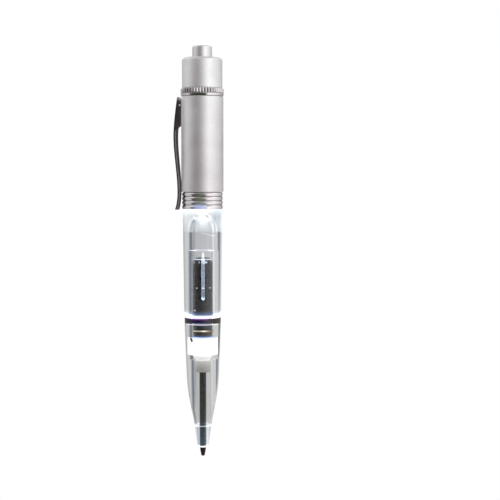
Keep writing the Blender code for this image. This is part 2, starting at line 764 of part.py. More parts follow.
def make_light_guide(clear):
    pocket = LED_RADIUS + 2 * RUNNING_GAP
    dome = (0, POCKET_Z + pocket)
    bullet_top = POCKET_Z - GUIDE_WEB
    bullet_base = bullet_top - BULLET_LENGTH
    nose = []
    for step in range(BULLET_STEPS + 1):
        angle = pi / 2 * step / BULLET_STEPS
        nose.append((GUIDE_BORE * cos(angle), bullet_base + BULLET_LENGTH * sin(angle)))
    nose[-1] = (0, bullet_top)
    spigot = RING_BORE - FIT_GAP
    foot_z = JOINT_RING_Z + RUNNING_GAP
    led_pocket = arc(dome, pocket, -90, 0, DOME_STEPS)
    led_pocket[0] = (0, POCKET_Z)
    outline = [
        *led_pocket,
        (pocket, GUIDE_SPIGOT_Z),
        (spigot, GUIDE_SPIGOT_Z),
        (spigot, GUIDE_TOP_Z),
        (GUIDE_TOP_RADIUS, GUIDE_TOP_Z),
        (GUIDE_FOOT_RADIUS, GUIDE_Z),
        (GUIDE_FOOT_SPIGOT, GUIDE_Z),
        (GUIDE_FOOT_SPIGOT, foot_z),
        (COUNTERBORE_RADIUS, foot_z),
        (COUNTERBORE_RADIUS, BORE_STEP_Z),
        (GUIDE_BORE, BORE_STEP_Z),
        *nose,
    ]
    guide = turned("light_guide", outline, clear)

    rib_low = HOUSING_TOP_Z - RIB_OVERLAP
    half = RIB_WIDTH / 2
    foot = [(-x, z) for x, z in arc((0, rib_low + half), half, 180, 360, RIB_END_STEPS)]
    bm = bmesh.new()
    front = -(COUNTERBORE_RADIUS + GUIDE_FOOT_WALL / 2)
    side = [*foot, (-half, BORE_STEP_Z + FIT_GAP), (half, BORE_STEP_Z + FIT_GAP)]
    face = bm.faces.new([bm.verts.new((x, front, z)) for x, z in side])
    drawn = bmesh.ops.extrude_face_region(bm, geom=[face])
    for item in drawn["geom"]:
        if isinstance(item, bmesh.types.BMVert):
            item.co.y = -RIB_INNER
    join(guide, add_mesh("guide_rib_form", bm, None))

    centring_z = GUIDE_Z + SEAT_GAP
    tube(
        "centring_ring",
        COUNTERBORE_RADIUS - FIT_GAP,
        HOUSING_RADIUS + FIT_GAP,
        centring_z,
        centring_z + CENTRING_HEIGHT,
        clear,
        INNER_SIDES,
    )


def make_joint_ring(black):
    tube(
        "joint_ring",
        JOINT_RING_RADIUS,
        GUIDE_FOOT_SPIGOT + FIT_GAP,
        JOINT_RING_Z,
        JOINT_RING_Z + JOINT_RING_HEIGHT,
        black,
    )


def make_housing(black, brass):
    groove_top = CONE_TOP_Z - FRICTION_RING_DROP
    groove_low = groove_top - FRICTION_RING_HEIGHT - 2 * SEAT_GAP
    groove_root = NECK_RADIUS - FRICTION_GROOVE
    neck_top = GUIDE_Z - SEAT_GAP
    outline = [
        (HOUSING_BORE, HOUSING_Z),
        (NECK_RADIUS, HOUSING_Z),
        (NECK_RADIUS, groove_low),
        (groove_root, groove_low),
        (groove_root, groove_top),
        (NECK_RADIUS, groove_top),
        (NECK_RADIUS, neck_top),
        (HOUSING_RADIUS, neck_top),
        (HOUSING_RADIUS, HOUSING_TOP_Z),
        (HOUSING_BORE, HOUSING_TOP_Z),
    ]
    housing = turned("twist_housing", outline, black, INNER_SIDES)
    half = RIB_WIDTH / 2 + SLOT_GAP
    slot_low = HOUSING_TOP_Z - RIB_OVERLAP - SLOT_GAP
    slot = box(
        "housing_slot_cutter",
        (-half, -HOUSING_RADIUS - HOUSING_WALL, slot_low),
        (half, -HOUSING_BORE / 2, HOUSING_TOP_Z + HOUSING_WALL),
    )
    cut(housing, slot)
    tube(
        "friction_ring",
        POCKET_RADIUS - RUNNING_GAP,
        groove_root + FIT_GAP,
        groove_low + SEAT_GAP,
        groove_top - SEAT_GAP,
        brass,
        INNER_SIDES,
    )


def make_cam(brass, black):
    cam_top = COLLAR_TOP_Z - SEAT_GAP
    cam = tube("twist_cam", CAM_RADIUS, CAM_BORE, CAM_Z, cam_top, brass, INNER_SIDES)

    # The slot climbs as the cam turns backwards past the pin, which stays on the -Y side.
    lead = TWIST_TRAVEL / TWIST_TURN
    overrun = (PIN_RADIUS + SLOT_GAP) / CAM_BORE
    sweep = TWIST_TURN + 2 * overrun
    low = PIN_Z - lead * overrun - CAM_SLOT_HEIGHT / 2
    inner, outer = CAM_BORE - CAM_WALL, CAM_RADIUS + CAM_WALL
    bm = bmesh.new()
    corners = [(inner, low), (outer, low), (outer, low + CAM_SLOT_HEIGHT), (inner, low + CAM_SLOT_HEIGHT)]
    section = bm.faces.new([bm.verts.new((radius, 0, z)) for radius, z in corners])
    turn = Matrix.Rotation(-pi / 2 + overrun, 3, "Z")
    bmesh.ops.rotate(bm, verts=bm.verts, cent=(0, 0, 0), matrix=turn)
    bmesh.ops.spin(
        bm,
        geom=[section, *section.edges, *section.verts],
        cent=(0, 0, 0),
        axis=(0, 0, 1),
        dvec=(0, 0, lead * sweep / CAM_SLOT_STEPS),
        angle=-sweep,
        steps=CAM_SLOT_STEPS,
    )
    cut(cam, add_mesh("cam_slot_cutter", bm, None))

    outline = [
        (CAM_RADIUS + FIT_GAP, COLLAR_Z),
        (COLLAR_RADIUS, COLLAR_Z),
        (COLLAR_RADIUS, COLLAR_TOP_Z - COLLAR_CHAMFER),
        (COLLAR_RADIUS - COLLAR_CHAMFER, COLLAR_TOP_Z),
        (CAM_RADIUS + FIT_GAP, COLLAR_TOP_Z),
    ]
    return cam, turned("cam_collar", outline, black, INNER_SIDES)


def make_driver(white):
    neck_z = DRIVER_Z - DRIVER_NECK
    boss_z = neck_z - BOSS_LENGTH
    neck_radius = CONE_BORE - RUNNING_GAP
    seat = CAM_RADIUS + FIT_GAP
    bore = REFILL_RADIUS + RUNNING_GAP
    seat_z = DRIVER_TOP_Z - CAM_SEAT
    outline = [
        (bore, boss_z),
        (BOSS_RADIUS - BOSS_CHAMFER, boss_z),
        (BOSS_RADIUS, boss_z + BOSS_CHAMFER),
        (BOSS_RADIUS, neck_z),
        (neck_radius, neck_z),
        (neck_radius, DRIVER_Z),
        (DRIVER_RADIUS, DRIVER_Z),
        (DRIVER_RADIUS, DRIVER_TOP_Z),
        (seat, DRIVER_TOP_Z),
        (seat, seat_z),
        (bore, seat_z),
    ]
    return turned("twist_driver", outline, white, INNER_SIDES)


def make_cone(clear):
    shoulder = (CONE_TOP_RADIUS - CONE_SHOULDER_STEP, MOUTH_Z + CONE_SHOULDER_HEIGHT)
    nose = (NOSE_RADIUS, NOSE_Z)
    mouth = (MOUTH_RADIUS, MOUTH_Z)
    upper_slope = CONE_SHOULDER_STEP / (CONE_LENGTH - CONE_SHOULDER_HEIGHT)
    nose_slope = (NOSE_RADIUS - MOUTH_RADIUS) / NOSE_HEIGHT
    drop = shoulder[1] - nose[1]
    reach_down = CONE_UPPER_REACH * drop
    reach_up = CONE_LOWER_REACH * drop
    handles = [
        nose,
        (NOSE_RADIUS + nose_slope * reach_up, NOSE_Z + reach_up),
        (shoulder[0] - upper_slope * reach_down, shoulder[1] - reach_down),
        shoulder,
    ]
    throat_z = NOSE_Z + THROAT_HEIGHT
    outline = [
        (MOUTH_BORE, MOUTH_Z),
        mouth,
        nose,
        *bezier(handles, CONE_CURVE_STEPS),
        shoulder,
        (CONE_TOP_RADIUS, CONE_TOP_Z),
        (POCKET_RADIUS, CONE_TOP_Z),
        (POCKET_RADIUS, POCKET_FLOOR_Z),
        (CONE_BORE, POCKET_FLOOR_Z),
        (CONE_BORE, throat_z),
        (THROAT_RADIUS, NOSE_Z),
        (NOSE_BORE, NOSE_Z),
    ]
    return turned("front_cone", outline, clear)


def make_refill(black, steel, translucent, ink, nib, hard):
    carrier = turned(
        "refill_carrier",
        [
            (0, CARRIER_Z + SOCKET_DEPTH),
            (SOCKET_RADIUS, CARRIER_Z + SOCKET_DEPTH),
            (SOCKET_RADIUS, CARRIER_Z),
            (CARRIER_RADIUS, CARRIER_Z),
            (CARRIER_RADIUS, CARRIER_TOP_Z),
            (0, CARRIER_TOP_Z),
        ],
        black,
        INNER_SIDES,
    )
    pin_root = PIN_RADIUS / 2
    pin_place = Matrix.Translation((0, 0, PIN_Z)) @ Matrix.Rotation(pi / 2, 4, "X")
    drill = turned("pin_hole_cutter", rod_outline(PIN_RADIUS + FIT_GAP, 0, CAM_RADIUS), None, SMALL_SIDES)
    drill.matrix_world = pin_place
    cut(carrier, drill)
    pin_bm = turned_bmesh(rod_outline(PIN_RADIUS, pin_root, PIN_END), SMALL_SIDES)
    bmesh.ops.transform(pin_bm, matrix=pin_place, verts=pin_bm.verts)
    pin = add_mesh("drive_pin", pin_bm, steel)

    foot = REFILL_FOOT_Z
    body = tube("refill_tube", REFILL_RADIUS, REFILL_BORE, foot, REFILL_TOP_Z, translucent, SMALL_SIDES)
    shank_top = foot + TIP_SHANK
    ink_low = shank_top + SEAT_GAP
    ink_outline = rod_outline(REFILL_BORE - INK_GAP, ink_low, REFILL_TOP_Z - INK_HEADSPACE)
    column = turned("ink_column", ink_outline, ink, SMALL_SIDES)

    seat = BALL_RADIUS + BALL_GAP
    seat_top = 2 * BALL_RADIUS + BALL_GAP
    outline = [
        (TIP_CHANNEL, seat_top),
        (seat, seat_top),
        (seat, BALL_RADIUS),
        (seat + TIP_RIM, BALL_RADIUS),
        (TIP_RADIUS, TIP_CONE_TOP),
        (TIP_RADIUS, foot - SEAT_GAP),
        (SHANK_RADIUS, foot - SEAT_GAP),
        (SHANK_RADIUS, shank_top),
        (TIP_CHANNEL, shank_top),
    ]
    point = turned("refill_tip", outline, nib, SMALL_SIDES)
    ball_outline = arc((0, BALL_RADIUS), BALL_RADIUS, -90, 90, BALL_STEPS)
    ball_outline[0] = (0, 0)
    ball_outline[-1] = (0, 2 * BALL_RADIUS)
    ball = turned("tip_ball", ball_outline, hard, SMALL_SIDES)
    return carrier, pin, body, column, point, ball


def main():
    clear_scene()
    satin = finish("satin aluminium", (0.62, 0.61, 0.60), 0.32, 1.0)
    chrome = finish("bright chrome", (0.72, 0.71, 0.72), 0.08, 1.0)
    nickel = finish("black nickel", (0.06, 0.05, 0.055), 0.25, 1.0)
    clear = finish("clear acrylic", (0.90, 0.93, 0.95), 0.04, 0.0)
    black = finish("black gloss plastic", (0.012, 0.012, 0.016), 0.12, 0.0)
    white = finish("white acetal", (0.88, 0.88, 0.86), 0.40, 0.0)
    brass = finish("brass", (0.55, 0.38, 0.14), 0.30, 1.0)
    steel = finish("spring steel", (0.45, 0.45, 0.46), 0.30, 1.0)
    cell_steel = finish("plated cell case", (0.60, 0.60, 0.58), 0.25, 1.0)
    insulator = finish("clear insulating sleeve", (0.70, 0.72, 0.70), 0.35, 0.0)
    epoxy = finish("lamp epoxy", (0.95, 0.97, 1.0), 0.10, 0.0)
    board_green = finish("circuit board", (0.03, 0.18, 0.07), 0.50, 0.0)
    tin = finish("tinned lead", (0.60, 0.60, 0.60), 0.35, 1.0)
    translucent = finish("dark refill tube", (0.05, 0.05, 0.055), 0.25, 0.0)
    ink = finish("black ink", (0.01, 0.01, 0.012), 0.15, 0.0)
    nib = finish("bronzed tip", (0.10, 0.07, 0.05), 0.35, 1.0)
    hard = finish("tungsten ball", (0.30, 0.30, 0.31), 0.15, 1.0)

    make_barrel(satin)
    make_clip(nickel)
    make_cells(cell_steel, insulator)
    make_lamp(epoxy, white, board_green, steel, tin)
    make_grooved_ring(chrome)
    make_light_guide(clear)
    make_joint_ring(black)
    make_housing(black, brass)

    cap_axis = joint_empty("cap_axis", (0, 0, BARREL_TOP_Z))
    spring = make_button(satin, white, steel)
    cap, retainer = make_tail_cap(satin, brass)
    switch = make_switch(black, brass, steel)
    for piece in (cap, retainer, make_knurled_ring(chrome), spring, *switch):
        hang(piece, cap_axis)

    twist_axis = joint_empty("twist_axis", (0, 0, CONE_TOP_Z))
    cam, collar = make_cam(brass, black)
    for piece in (cam, collar, make_driver(white), make_cone(clear)):
        hang(piece, twist_axis)

    refill_axis = joint_empty("refill_axis", (0, 0, PIN_Z))
    for piece in make_refill(black, steel, translucent, ink, nib, hard):
        hang(piece, refill_axis)


main()
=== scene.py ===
from collections import namedtuple
from math import atan, cos, pi, radians, sin, sqrt, tau
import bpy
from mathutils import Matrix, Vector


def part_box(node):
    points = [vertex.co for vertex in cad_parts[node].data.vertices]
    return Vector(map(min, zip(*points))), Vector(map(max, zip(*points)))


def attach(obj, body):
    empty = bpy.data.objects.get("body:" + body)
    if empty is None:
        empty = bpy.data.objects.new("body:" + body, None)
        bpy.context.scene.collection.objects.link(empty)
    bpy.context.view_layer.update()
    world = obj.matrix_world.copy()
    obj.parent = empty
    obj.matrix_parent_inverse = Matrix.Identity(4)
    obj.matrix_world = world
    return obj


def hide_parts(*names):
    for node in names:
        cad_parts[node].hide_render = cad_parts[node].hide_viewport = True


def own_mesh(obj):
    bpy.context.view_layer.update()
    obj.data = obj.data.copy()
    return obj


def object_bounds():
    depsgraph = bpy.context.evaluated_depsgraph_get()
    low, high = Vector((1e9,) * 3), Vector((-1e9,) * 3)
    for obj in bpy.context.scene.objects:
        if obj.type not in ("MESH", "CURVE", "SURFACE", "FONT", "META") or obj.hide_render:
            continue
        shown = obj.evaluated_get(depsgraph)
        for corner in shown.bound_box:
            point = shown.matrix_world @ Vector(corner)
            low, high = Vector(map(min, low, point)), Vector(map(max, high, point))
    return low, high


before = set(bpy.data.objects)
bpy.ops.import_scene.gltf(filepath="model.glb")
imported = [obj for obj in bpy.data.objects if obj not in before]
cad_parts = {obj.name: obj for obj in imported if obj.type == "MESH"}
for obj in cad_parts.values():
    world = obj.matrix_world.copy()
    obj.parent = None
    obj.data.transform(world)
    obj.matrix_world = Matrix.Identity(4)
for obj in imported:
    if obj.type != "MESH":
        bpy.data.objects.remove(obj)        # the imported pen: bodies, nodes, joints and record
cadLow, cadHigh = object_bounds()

from types import SimpleNamespace

import bmesh
import bpy
from mathutils import Matrix, Vector

mm = 0.001


def span(node):
    # radius, foot and top of a turned node, in millimetres
    low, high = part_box(node)
    return high.y / mm, low.z / mm, high.z / mm


def named(settings):
    # a dictionary whose entries are read as names
    return SimpleNamespace(**settings)


# heights along the pen in millimetres, worked out from the nodes and these lengths
seat = 0.1
lengths = {"lampRoom": 0.3, "lampWall": 1.1, "bullet": 6.4, "overCollar": 2.5, "rib": 12.8, "boss": 3.9,
           "bowl": 1.8, "tipShank": 0.3}
capTop = span("tail_cap")[2]
barrelFoot, barrelTop = span("upper_barrel")[1:]
guideTop = span("grooved_ring")[1] - seat
guideFoot = span("joint_ring")[2] + seat
pocketFloor = guideTop - lengths["lampRoom"]
bulletTop = pocketFloor - lengths["lampWall"]
bulletFoot = bulletTop - lengths["bullet"]
collarTop = span("cam_collar")[2]
boreStep = collarTop + lengths["overCollar"]
ribFoot = span("twist_housing")[2] - lengths["rib"]
bushTop = span("twist_driver")[2]
neckFoot = span("twist_driver")[1] + lengths["boss"]
bushFoot = neckFoot + lengths["bowl"]
noseTop = span("refill_tube")[1] - lengths["tipShank"]


# camera, at the photograph's viewing angle; the pen stands left of the middle
photoView = {"side": 500, "focal": 1170, "axisX": 202.5, "topY": 46.2, "tipY": 456, "horizonY": 185,
             "sensor": 36, "nearest": 0.01}


def addCamera():
    v = named(photoView)
    middle = v.side / 2
    focal = v.focal
    pitch = atan((middle - v.horizonY) / focal)
    c, s = cos(pitch), sin(pitch)
    tipSlope = (middle - v.tipY) / focal
    topSlope = (middle - v.topY) / focal
    # drop to the point and rise to the button, for each metre of distance
    below = (s - tipSlope * c) / (c + tipSlope * s)
    above = (topSlope * c - s) / (c + topSlope * s)
    distance = cadHigh.z / (below + above)
    lens = bpy.data.cameras.new("photoCamera")
    lens.sensor_width = v.sensor
    lens.lens = lens.sensor_width * focal / v.side
    lens.clip_start = v.nearest
    camera = bpy.data.objects.new("photoCamera", lens)
    aside = (middle - v.axisX) / focal * distance
    camera.location = (aside, -distance, below * distance)
    camera.rotation_euler = (pi / 2 - pitch, 0, 0)
    bpy.context.scene.collection.objects.link(camera)
    bpy.context.scene.camera = camera
    print("camera: %.0f mm away, %.0f mm up" % (distance / mm, below * distance / mm))


addCamera()


# node helpers
def startMaterial(name):
    material = bpy.data.materials.new(name)
    material.use_nodes = True
    tree = material.node_tree
    return material, tree, tree.nodes["Principled BSDF"]


def feed(tree, node, inputs):
    for key, value in inputs.items():
        if isinstance(value, bpy.types.NodeSocket):
            tree.links.new(value, node.inputs[key])
        else:
            node.inputs[key].default_value = value


def addNode(tree, kind, inputs=None, **settings):
    node = tree.nodes.new(kind)
    for key, value in settings.items():
        setattr(node, key, value)
    feed(tree, node, inputs or {})
    return node


# the helpers below build in the tree of the first socket that they are given
def calculate(operation, *values):
    inputs = dict(enumerate(values))
    return addNode(values[0].id_data, "ShaderNodeMath", inputs, operation=operation).outputs[0]


def joined(operation, parts):
    # one vector after another is worked into the first
    total = parts[0]
    for part in parts[1:]:
        node = addNode(total.id_data, "ShaderNodeVectorMath", {0: total, 1: part}, operation=operation)
        total = node.outputs["Vector"]
    return total


def times(*parts):
    return joined("MULTIPLY", parts)


def plus(*parts):
    return joined("ADD", parts)


def mix(share, first, second):
    # sockets 6, 7 and 2 hold the two colours and the result
    inputs = {0: share, 6: first, 7: second}
    return addNode(share.id_data, "ShaderNodeMix", inputs, data_type="RGBA").outputs[2]


def mixShaders(share, first, second):
    return addNode(share.id_data, "ShaderNodeMixShader", {0: share, 1: first, 2: second}).outputs[0]


def remap(value, start, end, first=0.0, last=1.0):
    bounds = {"Value": value, "From Min": start, "From Max": end, "To Min": first, "To Max": last}
    return addNode(value.id_data, "ShaderNodeMapRange", bounds).outputs["Result"]


def fade(value, nothing, full, unit=mm):
    # 0 at the first place and 1 at the second, whichever is higher
    return remap(value, nothing * unit, full * unit)


def opaque(level):
    # a grey level or a colour, with its alpha
    return (*level, 1) if isinstance(level, tuple) else (level, level, level, 1)


def ramp(value, stops, unit=mm):
    # levels or colours along a value, with the stops' places given in units
    low, high = stops[0][0], stops[-1][0]
    node = addNode(value.id_data, "ShaderNodeValToRGB", {"Fac": fade(value, low, high, unit)})
    elements = node.color_ramp.elements
    elements[0].color = opaque(stops[0][1])
    elements[1].color = opaque(stops[-1][1])
    for at, level in stops[1:-1]:
        elements.new((at - low) / (high - low)).color = opaque(level)
    return node.outputs["Color"]


def over(base, stops):
    # stops given from a base
    return [(base + at, level) for at, level in stops]


def band(value, places, level=1, base=0):
    # rises to a level over the first two places and falls over the last two
    return ramp(value, over(base, zip(places, (0, level, level, 0))))


def place(tree):
    return addNode(tree, "ShaderNodeTexCoord").outputs["Object"]


penPlace = namedtuple("penPlace", "spot side depth height out")


def onPen(tree):
    # the whole place, its sideways part, depth and height, and the distance from the pen's axis
    spot = place(tree)
    parts = addNode(tree, "ShaderNodeSeparateXYZ", {"Vector": spot}).outputs
    flat = times(spot, (1, 1, 0))
    out = addNode(tree, "ShaderNodeVectorMath", {0: flat}, operation="LENGTH").outputs["Value"]
    return penPlace(spot, parts["X"], parts["Y"], parts["Z"], out)


def noise(spot, scale, detail):
    inputs = {"Vector": spot, "Scale": scale, "Detail": detail}
    return addNode(spot.id_data, "ShaderNodeTexNoise", inputs).outputs["Fac"]


def speckle(at, scale, low, high):
    # uneven light, a factor that wanders between low and high
    return remap(noise(at.spot, scale, 2.0), 0.35, 0.65, low, high)


# shared effects
def startGroup(name, inputs, outputs):
    group = bpy.data.node_groups.new(name, "ShaderNodeTree")
    for key, start in inputs.items():
        socket = group.interface.new_socket(key, in_out="INPUT", socket_type="NodeSocketFloat")
        socket.default_value = start
    for key in outputs:
        group.interface.new_socket(key, in_out="OUTPUT", socket_type="NodeSocketFloat")
    return group, addNode(group, "NodeGroupInput").outputs, addNode(group, "NodeGroupOutput")


def grain(scale, stretch, tone, rough, spread):
    return {"Scale": scale, "Stretch": stretch, "Tone": tone, "Rough": rough, "Spread": spread}


def makeMetalGrain():
    # fine blasted or drawn grain: tone, roughness and height that go together
    group, given, result = startGroup("metalGrain", grain(3000, 1, 0.1, 0.3, 0.1),
                                      ("Shade", "Roughness", "Height"))
    spot = place(group)
    stretch = addNode(group, "ShaderNodeCombineXYZ", {"X": 1.0, "Y": 1.0, "Z": given["Stretch"]})
    fine = noise(times(spot, stretch.outputs["Vector"]), given["Scale"], 3.0)
    broad = noise(spot, 140.0, 2.0)
    centred = calculate("SUBTRACT", calculate("ADD", fine, broad), 1.0)
    shade = calculate("MULTIPLY_ADD", centred, given["Tone"], 1.0)
    rough = calculate("MULTIPLY_ADD", centred, given["Spread"], given["Rough"])
    feed(group, result, {"Shade": shade, "Roughness": rough, "Height": fine})
    return group


def smear(scale, low, high):
    return {"Scale": scale, "Low": low, "High": high}


def makePlasticSmear():
    # faint wipe marks on polished plastic
    group, given, result = startGroup("plasticSmear", smear(160, 0.02, 0.1), ("Roughness", "Height"))
    broad = noise(place(group), given["Scale"], 3.0)
    rough = remap(broad, 0.35, 0.75, given["Low"], given["High"])
    feed(group, result, {"Roughness": rough, "Height": broad})
    return group


metalGrain = makeMetalGrain()
plasticSmear = makePlasticSmear()


# finishes; a colour or a glow is a plain colour, or a function of the place on the pen
def addGlow(tree, shader, glow):
    if glow:
        light = glow(onPen(tree)) if callable(glow) else opaque(glow)
        feed(tree, shader, {"Emission Color": light, "Emission Strength": 1.0})


def tinted(tree, colour, shade):
    return times(shade, colour(onPen(tree)) if callable(colour) else colour)


def metal(name, colour, marking, bump=0.1, metallic=1.0, glow=None):
    material, tree, shader = startMaterial(name)
    marks = addNode(tree, "ShaderNodeGroup", marking, node_tree=metalGrain).outputs
    relief = addNode(tree, "ShaderNodeBump", {"Strength": bump, "Distance": 0.01 * mm,
                                              "Height": marks["Height"]})
    feed(tree, shader, {"Base Color": tinted(tree, colour, marks["Shade"]), "Metallic": metallic,
                        "Roughness": marks["Roughness"], "Normal": relief.outputs["Normal"]})
    addGlow(tree, shader, glow)
    return material


def plastic(name, colour, marking, tone=0.1, coat=0.0, glow=None):
    material, tree, shader = startMaterial(name)
    marks = addNode(tree, "ShaderNodeGroup", marking, node_tree=plasticSmear).outputs
    shade = calculate("MULTIPLY_ADD", marks["Height"], tone, 1 - tone / 2)
    feed(tree, shader, {"Base Color": tinted(tree, colour, shade), "Roughness": marks["Roughness"],
                        "Coat Weight": coat, "Coat Roughness": 0.04})
    addGlow(tree, shader, glow)
    return material


def clear(name, colour, marking, glow):
    material = plastic(name, colour, marking, tone=0.06, glow=glow)
    tree = material.node_tree
    feed(tree, tree.nodes["Principled BSDF"], {"IOR": 1.49, "Transmission Weight": 1.0})
    return material


def edgeHighlight(at):
    # a painted highlight down the right edge of clear plastic, where it turns away from the front
    right = ramp(calculate("DIVIDE", at.side, at.out), [(0.88, 0), (0.94, (0.34, 0.35, 0.37))], 1)
    return times(fade(at.depth, -0.4, -0.9), right)


def satinPaintedShade(at):
    # painted shade: a little duller and pinker towards the grooved ring, lighter up to the cap
    return ramp(at.height, [
        (barrelFoot, (0.83, 0.79, 0.805)), (barrelFoot + 18, (0.87, 0.85, 0.85)),
        (barrelTop - 3, (0.90, 0.885, 0.885)), (barrelTop + 4, (0.955, 0.945, 0.945)),
        (capTop, (0.965, 0.955, 0.955))])


def satinGlow(at):
    # light thrown back on the barrel from behind the clip
    strip = ramp(at.side, [(-7.1, 0.30), (-6.8, 0.26), (-6.3, 0.20), (-5.8, 0)])
    along = ramp(at.height, [(barrelFoot, 0.4), *over(barrelTop, [(-12, 0.5), (-9, 1), (-0.5, 1), (0, 0)])])
    return times(strip, along)


# finishes that several pieces share
satinAluminium = metal("satinAluminium", satinPaintedShade, grain(2600, 1, 0.3, 0.34, 0.10), 0.3, 0.75, satinGlow)
brightChrome = metal("brightChrome", (0.90, 0.86, 0.88), grain(1500, 0.2, 0.08, 0.04, 0.03), 0.05)
brass = metal("turnedBrass", (0.70, 0.50, 0.20), grain(2500, 3, 0.15, 0.26, 0.1))
dullBrass = metal("dullBrass", (0.11, 0.085, 0.06), grain(2500, 3, 0.25, 0.40, 0.1))
springSteel = metal("springSteel", (0.55, 0.55, 0.56), grain(2500, 1, 0.2, 0.26, 0.1))
cellCase = metal("platedCell", (0.66, 0.66, 0.64), grain(1800, 0.3, 0.12, 0.24, 0.1))
tinnedLead = metal("tinnedLead", (0.62, 0.62, 0.62), grain(2500, 0.2, 0.2, 0.34, 0.1))
blackGloss = plastic("blackGloss", (0.022, 0.023, 0.026), smear(240, 0.10, 0.26), 0.4, 0.3)
plainAcetal = plastic("plainAcetal", (0.82, 0.82, 0.80), smear(260, 0.32, 0.5), 0.06)
insulator = plastic("insulatingSleeve", (0.70, 0.72, 0.70), smear(200, 0.28, 0.45), 0.1)
circuitBoard = plastic("circuitBoard", (0.03, 0.18, 0.07), smear(900, 0.3, 0.6), 0.5, 0.2)


# modelling helpers, in millimetres
def drawCorners(bm, points):
    return [bm.verts.new([part * mm for part in point]) for point in points]


def joinUp(bm, corners, closed=True):
    edges = [bm.edges.new(pair) for pair in zip(corners, corners[1:])]
    if closed:
        edges.append(bm.edges.new((corners[-1], corners[0])))
    return edges


def bevel(bm, geom, width, segments=3, affect="EDGES", clamp=False):
    bmesh.ops.bevel(bm, geom=geom, offset=width * mm, offset_type="OFFSET", segments=segments, profile=0.5,
                    affect=affect, clamp_overlap=clamp, material=-1)


def shift(bm, move, verts):
    bmesh.ops.translate(bm, vec=[part * mm for part in move], verts=verts)


def turn(bm, degrees, axis):
    bmesh.ops.rotate(bm, verts=bm.verts, matrix=Matrix.Rotation(radians(degrees), 3, axis))


def tidyMesh(bm):
    bmesh.ops.remove_doubles(bm, verts=bm.verts, dist=1e-7)
    bmesh.ops.recalc_face_normals(bm, faces=bm.faces)
    return bm


def lathe(points, rounds, steps=128):
    # turns an outline of (radius, height); rounds gives corner radii by corner number
    bm = bmesh.new()
    onAxis = points[0][0] == 0 and points[-1][0] == 0
    corners = drawCorners(bm, [(r, 0, z) for r, z in points])
    joinUp(bm, corners, not onAxis)
    for number, radius in rounds.items():
        bevel(bm, [corners[number]], radius, 5, "VERTICES")
    bmesh.ops.spin(bm, geom=bm.verts[:] + bm.edges[:], cent=(0, 0, 0), axis=(0, 0, 1), angle=tau,
                   steps=steps, use_merge=True)
    return tidyMesh(bm)


def stepped(*steps):
    # an outline's corners from steps of a radius and its heights in order, with the last corner put first
    corners = [(radius, z) for radius, *heights in steps for z in heights]
    return corners[-1:] + corners[:-1]


def tube(inner, outer, low, top, rounds, steps=128):
    return lathe(stepped((outer, low, top), (inner, top, low)), rounds, steps)


def quarterTurn(steps):
    return [pi / 2 * step / steps for step in range(steps + 1)]


def wind(bm, turns, climb, stepsEach):
    # draws all that is in the mesh up round the axis
    steps = round(turns * stepsEach)
    bmesh.ops.spin(bm, geom=bm.faces[:] + bm.edges[:] + bm.verts[:], cent=(0, 0, 0), axis=(0, 0, 1),
                   angle=tau * turns, dvec=(0, 0, climb * mm / steps), steps=steps)


def prism(points, move):
    # a flat loop of points, drawn out along a move
    bm = bmesh.new()
    corners = drawCorners(bm, points)
    joinUp(bm, corners)
    drawn = bmesh.ops.extrude_face_region(bm, geom=[bm.faces.new(corners)])
    shift(bm, move, [item for item in drawn["geom"] if isinstance(item, bmesh.types.BMVert)])
    return tidyMesh(bm)


def block(low, high):
    # a box between two corners
    bm = bmesh.new()
    bmesh.ops.create_cube(bm, size=1)
    bmesh.ops.scale(bm, vec=[(b - a) * mm for a, b in zip(low, high)], verts=bm.verts)
    shift(bm, [(a + b) / 2 for a, b in zip(low, high)], bm.verts)
    return bm


def addBall(bm, radius, spot, segments, rings, flat=1):
    made = bmesh.ops.create_uvsphere(bm, u_segments=segments, v_segments=rings, radius=radius * mm)["verts"]
    bmesh.ops.scale(bm, vec=(1, flat, 1), verts=made)
    shift(bm, spot, made)


def asObject(name, bm):
    mesh = bpy.data.meshes.new(name)
    bm.to_mesh(mesh)
    bm.free()
    piece = bpy.data.objects.new(name, mesh)
    bpy.context.scene.collection.objects.link(piece)
    return piece


def combine(first, second, operation):
    # a boolean of two closed meshes
    body, tool = asObject("combineBody", first), asObject("combineTool", second)
    change = body.modifiers.new("combine", "BOOLEAN")
    change.operation = operation
    change.object = tool
    bm = bmesh.new()
    bm.from_object(body, bpy.context.evaluated_depsgraph_get())
    for scrap in (body, tool):
        mesh = scrap.data
        bpy.data.objects.remove(scrap)
        bpy.data.meshes.remove(mesh)
    return bm


def addPiece(name, bm, material, body, node, sharp=30):
    piece = asObject(name, bm)
    piece.data.materials.append(material)
    piece.data.shade_smooth()
    piece.data.set_sharp_from_angle(angle=radians(sharp))
    even = piece.modifiers.new("evenShading", "WEIGHTED_NORMAL")   # flat walls keep their own normals
    even.keep_sharp = True
    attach(piece, body)
    if node:
        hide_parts(node)
    return piece


# push button
buttonShape = {"radius": 3.27, "stem": 2.4, "flangeTop": capTop - 1.5, "flangeHeight": 1.3,
               "rounds": {1: 0.2, 3: 0.15, 4: 0.15, 6: 0.55}}


def makePushButton():
    b = named(buttonShape)
    flange, foot, top = span("push_button")
    flangeTop, flangeFoot = b.flangeTop, b.flangeTop - b.flangeHeight
    outline = stepped((b.stem, foot, flangeFoot), (flange, flangeFoot, flangeTop),
                      (b.radius, flangeTop, top), (0, top, foot))
    finish = metal("buttonAluminium", (0.98, 0.97, 0.97), grain(2200, 1, 0.3, 0.30, 0.10), 0.3, 0.8)
    addPiece("pushButton", lathe(outline, b.rounds), finish, "button", "push_button")


